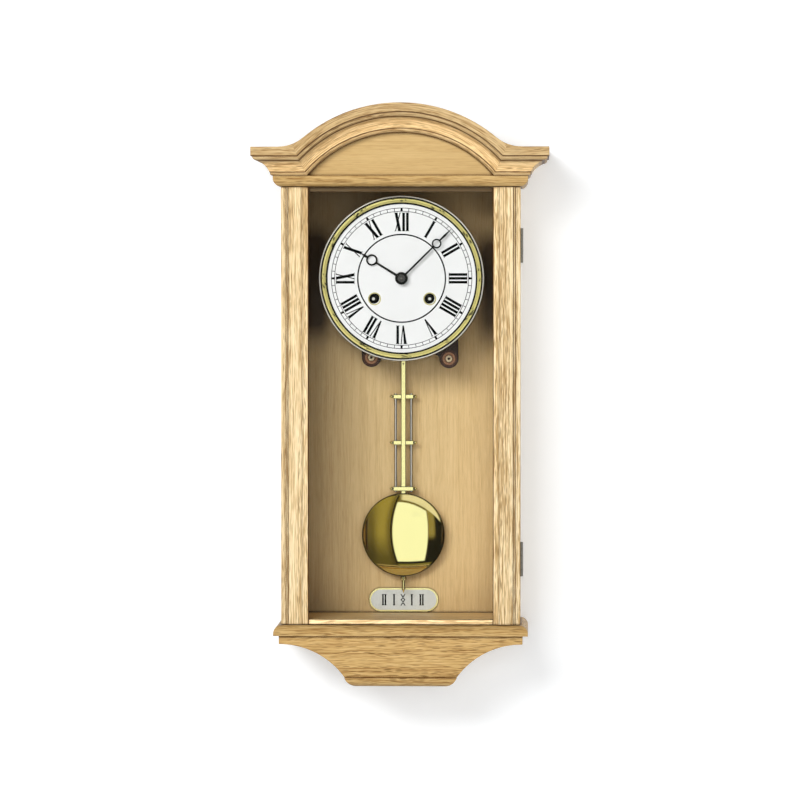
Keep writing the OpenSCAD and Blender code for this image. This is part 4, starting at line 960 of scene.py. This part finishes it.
def make_minute_track():
    mesh = bmesh.new()
    add_band(mesh, TRACK_OUT, TRACK_LINE, PRINT)
    add_band(mesh, TRACK_IN, TRACK_LINE, PRINT)
    piece("minute_track", mesh, "grey_ink", "case")
    mesh = bmesh.new()
    add_band(mesh, CIRCLE_R, CIRCLE_W, PRINT)
    piece("inner_circle", mesh, "ink", "case")
    half, radius = (TRACK_OUT - TRACK_IN) / 2, (TRACK_OUT + TRACK_IN) / 2
    mesh = bmesh.new()
    add_plate(mesh, oblong(-TRACK_LINE / 2, -half, TRACK_LINE / 2, half), 0, PRINT * 0.8)
    copies_round("minute_marks", mesh, "grey_ink", "case", 60, radius, DIAL_MIDDLE)
    wide, narrow = 1.25 * MM, 0.9375 * MM
    mesh = bmesh.new()
    add_plate(mesh, [(-wide, -half), (wide, -half), (narrow, half), (-narrow, half)], 0, PRINT * 1.2)
    copies_round("five_minute_marks", mesh, "ink", "case", 12, radius, DIAL_MIDDLE)


# Dial fittings

GROMMET_OUT = 6.7 * MM
GROMMET_IN = 5.45 * MM
GROMMET_DOME = 0.45 * MM
GROMMET_DEEP = 1 * MM


def make_grommets():
    """Brass rings pressed into the dial round the two winding holes."""
    mesh = bmesh.new()
    for node in ("time_winding_arbor", "strike_winding_arbor"):
        spot = middle(node)
        ring = [(GROMMET_IN, -GROMMET_DEEP)]
        ring += arc((GROMMET_IN, 0.2 * MM), (GROMMET_OUT, 0.0), GROMMET_DOME, 8)
        wall = GROMMET_IN + 0.1 * MM
        ring += [(GROMMET_OUT, -0.02 * MM), (wall, -0.02 * MM), (wall, -GROMMET_DEEP)]
        add_lathe(mesh, ring, Vector((spot.x, DIAL_FACE, spot.z)), 64, True)
    piece("winding_grommets", mesh, "rim_brass", "case", 40)


def make_bezel_shade_ring():
    """A thin black ring in the bezel's inner step, between the bezel and the dial, put there as painted
    shade.
    """
    inner, outer = 76.7 * MM, 78.3 * MM
    mesh = bmesh.new()
    profile = [(inner, 0)] + arc((inner, 1.1 * MM), (outer, 1.75 * MM), 0.3 * MM, 5)
    profile += [(outer, 1.45 * MM), (77.5 * MM, 1.45 * MM), (77.5 * MM, 0)]
    add_lathe(mesh, profile, DIAL_MIDDLE, 180, True)
    piece("bezel_seal", mesh, "black", "case", 40)


def make_bezel():
    """The rolled bezel: a sloping band, a groove and a rounded outer edge."""
    low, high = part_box("bezel")
    outer = (high.x - low.x) / 2
    top, back = DIAL_FACE - low.y, DIAL_FACE - high.y
    inner = 77.6 * MM
    profile = [(inner, 0), (inner, 1.3 * MM), (inner + 0.9 * MM, 1.5 * MM)]
    profile += arc((inner + 0.9 * MM, 2.7 * MM), (outer - 3.6 * MM, top - 0.75 * MM), 0.3 * MM, 6)
    profile += [(outer - 3.3 * MM, top - 1.6 * MM), (outer - 2.7 * MM, top - 1.6 * MM)]
    profile += arc((outer - 2.5 * MM, top - 0.9 * MM), (outer, top - 2.6 * MM), 0.75 * MM, 8)
    profile += [(outer, back), (outer - 1.6 * MM, back), (outer - 1.6 * MM, 0)]
    mesh = bmesh.new()
    add_lathe(mesh, profile, DIAL_MIDDLE, 240, True)
    bezel = piece("bezel_ring", mesh, "bezel_brass", "case", 35)
    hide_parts("bezel")


def make_hand_nut():
    """The turned nut on the hands' boss and the domed end of the arbor in its middle."""
    boss = Vector((DIAL.x, front("minute_hand"), DIAL.z))
    nut = [(1.2, 0.0), (1.2, 0.7), (2.1, 0.9), (2.5, 0.5), (2.9, 0.45), (3.4, 0.7), (3.8, 0.55), (3.85, -0.2),
           (1.2, -0.2)]
    mesh = bmesh.new()
    add_lathe(mesh, [(r * MM, h * MM) for r, h in nut], boss, 64, True)
    piece("hand_nut", mesh, "nut_black", "minute_hand", 30)
    dome = [(0, 0.95), (0.5, 0.88), (0.9, 0.7), (1.15, 0.45), (1.15, -0.3), (0, -0.3)]
    mesh = bmesh.new()
    add_lathe(mesh, [(r * MM, h * MM) for r, h in dome], boss, 32)
    piece("hand_pin", mesh, "steel", "minute_hand", 50)


# Pendulum

def make_bob():
    """The polished lens of the bob, with a fine bead round its rim."""
    low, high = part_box("bob")
    radius, half = BOB_R, (high.y - low.y) / 2
    bead, lip = 1.2 * MM, 1.2 * MM
    reach = radius - bead
    rise = half - lip
    bulge = -math.hypot(reach, rise) / 2 * math.tan(math.atan(rise / reach) / 2)
    face = arc((0.0, half), (reach, lip), -bulge, 40)
    face[0] = (0, half)
    rim = arc((reach, lip), (reach, -lip), 1.15 * MM, 12)
    back = [(r, -d) for r, d in reversed(face)]
    mesh = bmesh.new()
    add_lathe(mesh, face + rim[1:-1] + back, BOB, 180)
    bob = piece("bob_lens", mesh, "bob_brass", "bob", 50)
    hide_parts("bob")


# Beat plate

BEAT_MARKS = [("II", -20.6), ("I", -10.2), ("I", 8.5), ("II", 18.8)]
BEAT_MIDDLE = -0.8 * MM
BEAT_RIM = 1.7 * MM
BEAT_MARK_H = 11.8 * MM
BEAT_BAR_W = 1.6 * MM
BEAT_BAR_GAP = 2.6 * MM
BEAT_SERIF = 1.15 * MM
BEAT_SERIF_H = 0.8 * MM


def stadium(width, height, steps=24):
    """Outline of a strip with round ends, as (x, z) points about its centre."""
    radius = height / 2
    reach = width / 2 - radius
    points = []
    for k in range(2 * steps + 2):
        side = 1 if k <= steps else -1
        turn = math.pi * (k if k <= steps else k - 1) / steps - math.pi / 2
        points.append((side * reach + radius * math.cos(turn), radius * math.sin(turn)))
    return points


def make_beat_face():
    """The silvered face inside the beat plate's brass rim, and its marks."""
    low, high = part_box("beat_plate")
    centre = (low + high) / 2
    width, height = high.x - low.x, high.z - low.z
    outline = [(centre.x + x, centre.z + z) for x, z in stadium(width - 2 * BEAT_RIM, height - 2 * BEAT_RIM)]
    mesh = bmesh.new()
    add_plate(mesh, outline, low.y, 0.12 * MM)
    piece("beat_face", mesh, "silvered", "case")
    face = low.y - 0.12 * MM
    mesh = bmesh.new()
    for letters, place in BEAT_MARKS:
        for k in range(len(letters)):
            x = centre.x + place * MM + (k - (len(letters) - 1) / 2) * BEAT_BAR_GAP
            half, low, high = BEAT_BAR_W / 2, centre.z - BEAT_MARK_H / 2, centre.z + BEAT_MARK_H / 2
            add_plate(mesh, oblong(x - half, low, x + half, high), face, PRINT)
            for z in (low, high - BEAT_SERIF_H):
                serif_plate = oblong(x - BEAT_SERIF, z, x + BEAT_SERIF, z + BEAT_SERIF_H)
                add_plate(mesh, serif_plate, face, PRINT * 0.8)
    add_lozenge(mesh, centre + Vector((BEAT_MIDDLE, 0, 0)), face)
    piece("beat_marks", mesh, "ink", "case")


def add_lozenge(mesh, centre, face):
    """A diamond between two chevrons, the mark in the middle of the beat plate."""
    line = 0.95 * MM
    wide, tall = 2.5 * MM, 3 * MM
    spots = [(0, tall), (wide, 0), (0, -tall), (-wide, 0)]
    for k, (x0, z0) in enumerate(spots):
        x1, z1 = spots[(k + 1) % 4]
        inner = 1 - 1.3 * line / wide
        add_plate(mesh, [(centre.x + x0, centre.z + z0), (centre.x + x1, centre.z + z1),
                         (centre.x + x1 * inner, centre.z + z1 * inner),
                         (centre.x + x0 * inner, centre.z + z0 * inner)], face, PRINT)
    for side in (-1, 1):
        for hand in (-1, 1):
            tip, end = centre.z + side * tall, centre.z + side * 6.2 * MM
            foot, edge = centre.x + hand * 2.2 * MM, hand * line / 2
            add_plate(mesh, [(centre.x - edge, tip), (centre.x + 2 * edge, tip), (foot + edge, end),
                             (foot - edge, end)], face, PRINT * (0.9 if hand > 0 else 0.7))


# Door fittings

def make_glass_beads():
    """Quarter-round beads that hold the glass in the stiles' rebates."""
    glass_low, glass_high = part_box("door_glass")
    depth, wide, clear = 6.2 * MM, 4.6 * MM, 0.05 * MM
    mesh = bmesh.new()
    for side in (-1, 1):
        edge = side * (glass_high.x - 0.2 * MM)
        face = glass_high.y + clear
        section = [(edge, face), (edge, face + depth - clear)]
        for k in range(1, 9):
            turn = math.radians(90 * k / 8)
            section.append((edge - side * wide * math.sin(turn), face + (depth - clear) * math.cos(turn)))
        rows = [[mesh.verts.new((x, y, z)) for x, y in section]
                for z in (glass_low.z + 3 * MM, glass_high.z - 3 * MM)]
        mesh.faces.new(rows[0])
        mesh.faces.new(rows[1][::-1])
        for k in range(len(section)):
            n = (k + 1) % len(section)
            mesh.faces.new((rows[0][k], rows[0][n], rows[1][n], rows[1][k]))
    piece("glass_beads", mesh, "oak_sides", "door", 40)


# Studio

AIM = Vector((-0.0004, -0.125, -0.2025))
CAMERA_GAP = 4.4
CAMERA_TURN = 1.78
CAMERA_RISE = 1.43
LENS = 193.28
FLOOR_Z = -0.847


def direction(turn, rise):
    """The way out from the clock, turn to the right of the front and rise above it, in degrees."""
    turn, rise = math.radians(turn), math.radians(rise)
    return Vector((math.sin(turn) * math.cos(rise), -math.cos(turn) * math.cos(rise), math.sin(rise)))


def make_camera():
    data = bpy.data.cameras.new("camera")
    data.lens = LENS
    data.sensor_width = 36
    data.clip_start = 0.1
    data.clip_end = 60
    away = direction(CAMERA_TURN, CAMERA_RISE)
    made = link("camera", data)
    made.location = AIM + away * CAMERA_GAP
    made.rotation_euler = (-away).to_track_quat("-Z", "Y").to_euler()
    bpy.context.scene.camera = made


def make_lamp(name, turn, rise, gap, width, height, level):
    """A soft lamp aimed at the clock from turn to the right of the front and rise above it, in degrees.
    Level is about what it adds to a white surface that faces it."""
    data = bpy.data.lights.new(name, "AREA")
    data.shape = "RECTANGLE"
    data.size = width
    data.size_y = height
    data.energy = level * math.pi ** 2 * gap ** 2
    away = direction(turn, rise)
    made = link(name, data)
    made.location = AIM + away * gap
    made.rotation_euler = away.to_track_quat("Z", "Y").to_euler()
    made.visible_glossy = False
    made.visible_camera = False


def flat_stage(name, outline, finish):
    """A flat backdrop from its corners."""
    data = bpy.data.meshes.new(name)
    data.from_pydata(outline, [], [list(range(len(outline)))])
    data.materials.append(finish)
    made = link(name, data)
    return made


def hide_from(thing, kinds):
    for kind in kinds:
        setattr(thing, "visible_" + kind, False)


def seen_directly(tree):
    """1 for the camera, and in mirrors and through glass."""
    path = tree.add("ShaderNodeLightPath", {}, (), "Is Camera Ray")
    others = tree.math("MAXIMUM", path.other("Is Glossy Ray"), path.other("Is Transmission Ray"))
    return tree.math("MAXIMUM", path, others)


WHITE = (1.0, 1.0, 1.0, 1.0)
PAPER = (0.785, 0.8, 0.815, 1.0)
PAPER_LIFT = 0.3
WORLD_FILL = 0.1


def white_backdrop(tree):
    """White that keeps shadows, lifted for the camera and for reflections, and clear from behind."""
    paper = tree.add("ShaderNodeBsdfDiffuse", {}, {"Color": PAPER})
    lift = tree.add("ShaderNodeEmission", {}, {"Color": WHITE, "Strength": seen_directly(tree) * PAPER_LIFT})
    lit = tree.add("ShaderNodeAddShader", {}, (paper, lift))
    behind = tree.add("ShaderNodeNewGeometry", {}, (), "Backfacing")
    clear = tree.add("ShaderNodeBsdfTransparent")
    return tree.add("ShaderNodeMixShader", {}, (behind, lit, clear))


# The room that the bob mirrors. A place in it is counted in radii of the bob, across and up from the
# bob's middle, as it shows there. ROOM_ACROSS and ROOM_UP turn metres into that.

ROOM_ACROSS = (2.09, 0.035)
ROOM_UP = (1.913, 0.752)
WINDOW_LEFT = -0.285
WINDOW_RIGHT = 0.62
WINDOW_TOP = 0.8
WINDOW_FOOT = -0.64
LEFT_BOW = 0.23
RIGHT_BOW = 0.12
TOP_BOW = 0.39
WALL_SHADE = srgb(112, 98, 56)
WALL_LIT = srgb(166, 148, 80)
FLOOR_SHADE = srgb(56, 48, 24)
FRAME_SHADE = srgb(70, 58, 26)
FRAME_LINE = srgb(24, 19, 8)
RIGHT_SHADE = srgb(28, 24, 12)
RIGHT_LIT = srgb(158, 142, 88)
SILL = srgb(128, 118, 62)
SILL_LINE = srgb(14, 11, 4)
CEILING = srgb(250, 240, 225)
WINDOW_LIGHT = (1.2, 1.23, 1.12, 1.0)


def room(tree):
    """What polished metal reflects: a dim brown room with one tall bright window."""
    x, y, z = tree.spots()
    across, up = x * ROOM_ACROSS[0] + ROOM_ACROSS[1], z * ROOM_UP[0] + ROOM_UP[1]
    height, aside = up - 0.09, across + 0.17
    bow = height * height
    left = across - WINDOW_LEFT - bow * LEFT_BOW
    right = WINDOW_RIGHT - bow * RIGHT_BOW - across
    top = WINDOW_TOP - aside * aside * TOP_BOW - up
    inside = tree.spread(left, 0.0, 0.02) * tree.spread(right, 0.0, 0.02) * tree.spread(top, 0.0, 0.02)
    inside = inside * tree.spread(up, WINDOW_FOOT, WINDOW_FOOT + 0.02)
    cloud = (tree.noise(tree.join(x, z, 0.0), (3, 1.2, 1), 1.0) - 0.5) * 0.4
    seen = tree.mix(tree.spread(across + cloud, -0.95, -0.6), WALL_SHADE, WALL_LIT)
    seen = tree.mix(tree.spread(up + cloud, 0.1, -0.6) * 0.75, seen, FLOOR_SHADE)
    seen = tree.mix(tree.spread(left, -0.22, -0.08) * 0.6, seen, FRAME_SHADE)
    seen = tree.mix(tree.line(left, -0.03, 0.03), seen, FRAME_LINE)
    patch = tree.spread(up, -0.15, 0.05) * tree.spread(right, -0.24, -0.14)
    seen = tree.mix(tree.spread(right, 0.0, -0.02), seen, tree.mix(patch, RIGHT_SHADE, RIGHT_LIT))
    past_frame = tree.spread(left, -0.04, 0.0)
    seen = tree.mix(tree.spread(up, -0.66, -0.7) * past_frame, seen, SILL)
    seen = tree.mix(tree.line(up, -0.67, 0.035) * past_frame, seen, SILL_LINE)
    seen = tree.mix(tree.spread(top, -0.03, -0.07) * tree.spread(across, -0.12, 0.0), seen, CEILING)
    seen = tree.mix(inside, seen, WINDOW_LIGHT)
    return tree.add("ShaderNodeEmission", {}, {"Color": seen, "Strength": 1.0})


def make_backdrops():
    white = material("backdrop_white", white_backdrop)
    wide, deep, high = 6.0, 6.0, 2.0
    flat_stage("floor", [(x, y, FLOOR_Z) for x, y in oblong(-wide, -deep, wide, deep)], white)
    wall_y = 2 * MM
    wall = flat_stage("wall", [(x, wall_y, z) for x, z in oblong(-wide, FLOOR_Z, wide, high)], white)
    hide_from(wall, ("diffuse", "glossy", "transmission", "shadow", "volume_scatter"))
    make_room()


def make_room():
    """The room in front of the clock, which only reflections see."""
    y, reach, top = -0.75, 0.57, 0.26
    outline = [(x, y, z) for x, z in oblong(-reach, FLOOR_Z, reach, top)]
    card = flat_stage("room", outline, material("room", room))
    hide_from(card, ("camera", "diffuse", "transmission", "shadow", "volume_scatter"))


def make_world():
    world = bpy.data.worlds.new("studio")
    bpy.context.scene.world = world
    world.use_nodes = True
    tree = Tree(world.node_tree)
    strength = seen_directly(tree) * (1 - WORLD_FILL) + WORLD_FILL
    glow = tree.add("ShaderNodeBackground", {}, {"Color": WHITE, "Strength": strength})
    tree.add("ShaderNodeOutputWorld", {}, {"Surface": glow})


def make_studio():
    make_camera()
    make_world()
    make_backdrops()
    make_lamp("key", -20, 20, 3.2, 1.6, 0.9, 0.72)
    make_lamp("front_fill", 4, 2, 3.6, 1.6, 1.2, 0.32)
    make_lamp("back_fill", 150, 30, 3.0, 1.6, 1.6, 0.5)
    make_lamp("right_fill", 80, 10, 2.8, 1.4, 1.4, 0.12)
    bpy.context.scene.view_settings.view_transform = "Standard"


dress_frame()
make_numerals()
make_minute_track()
make_grommets()
make_bezel_shade_ring()
make_bezel()
make_hand_nut()
make_bob()
make_beat_face()
make_glass_beads()
make_studio()
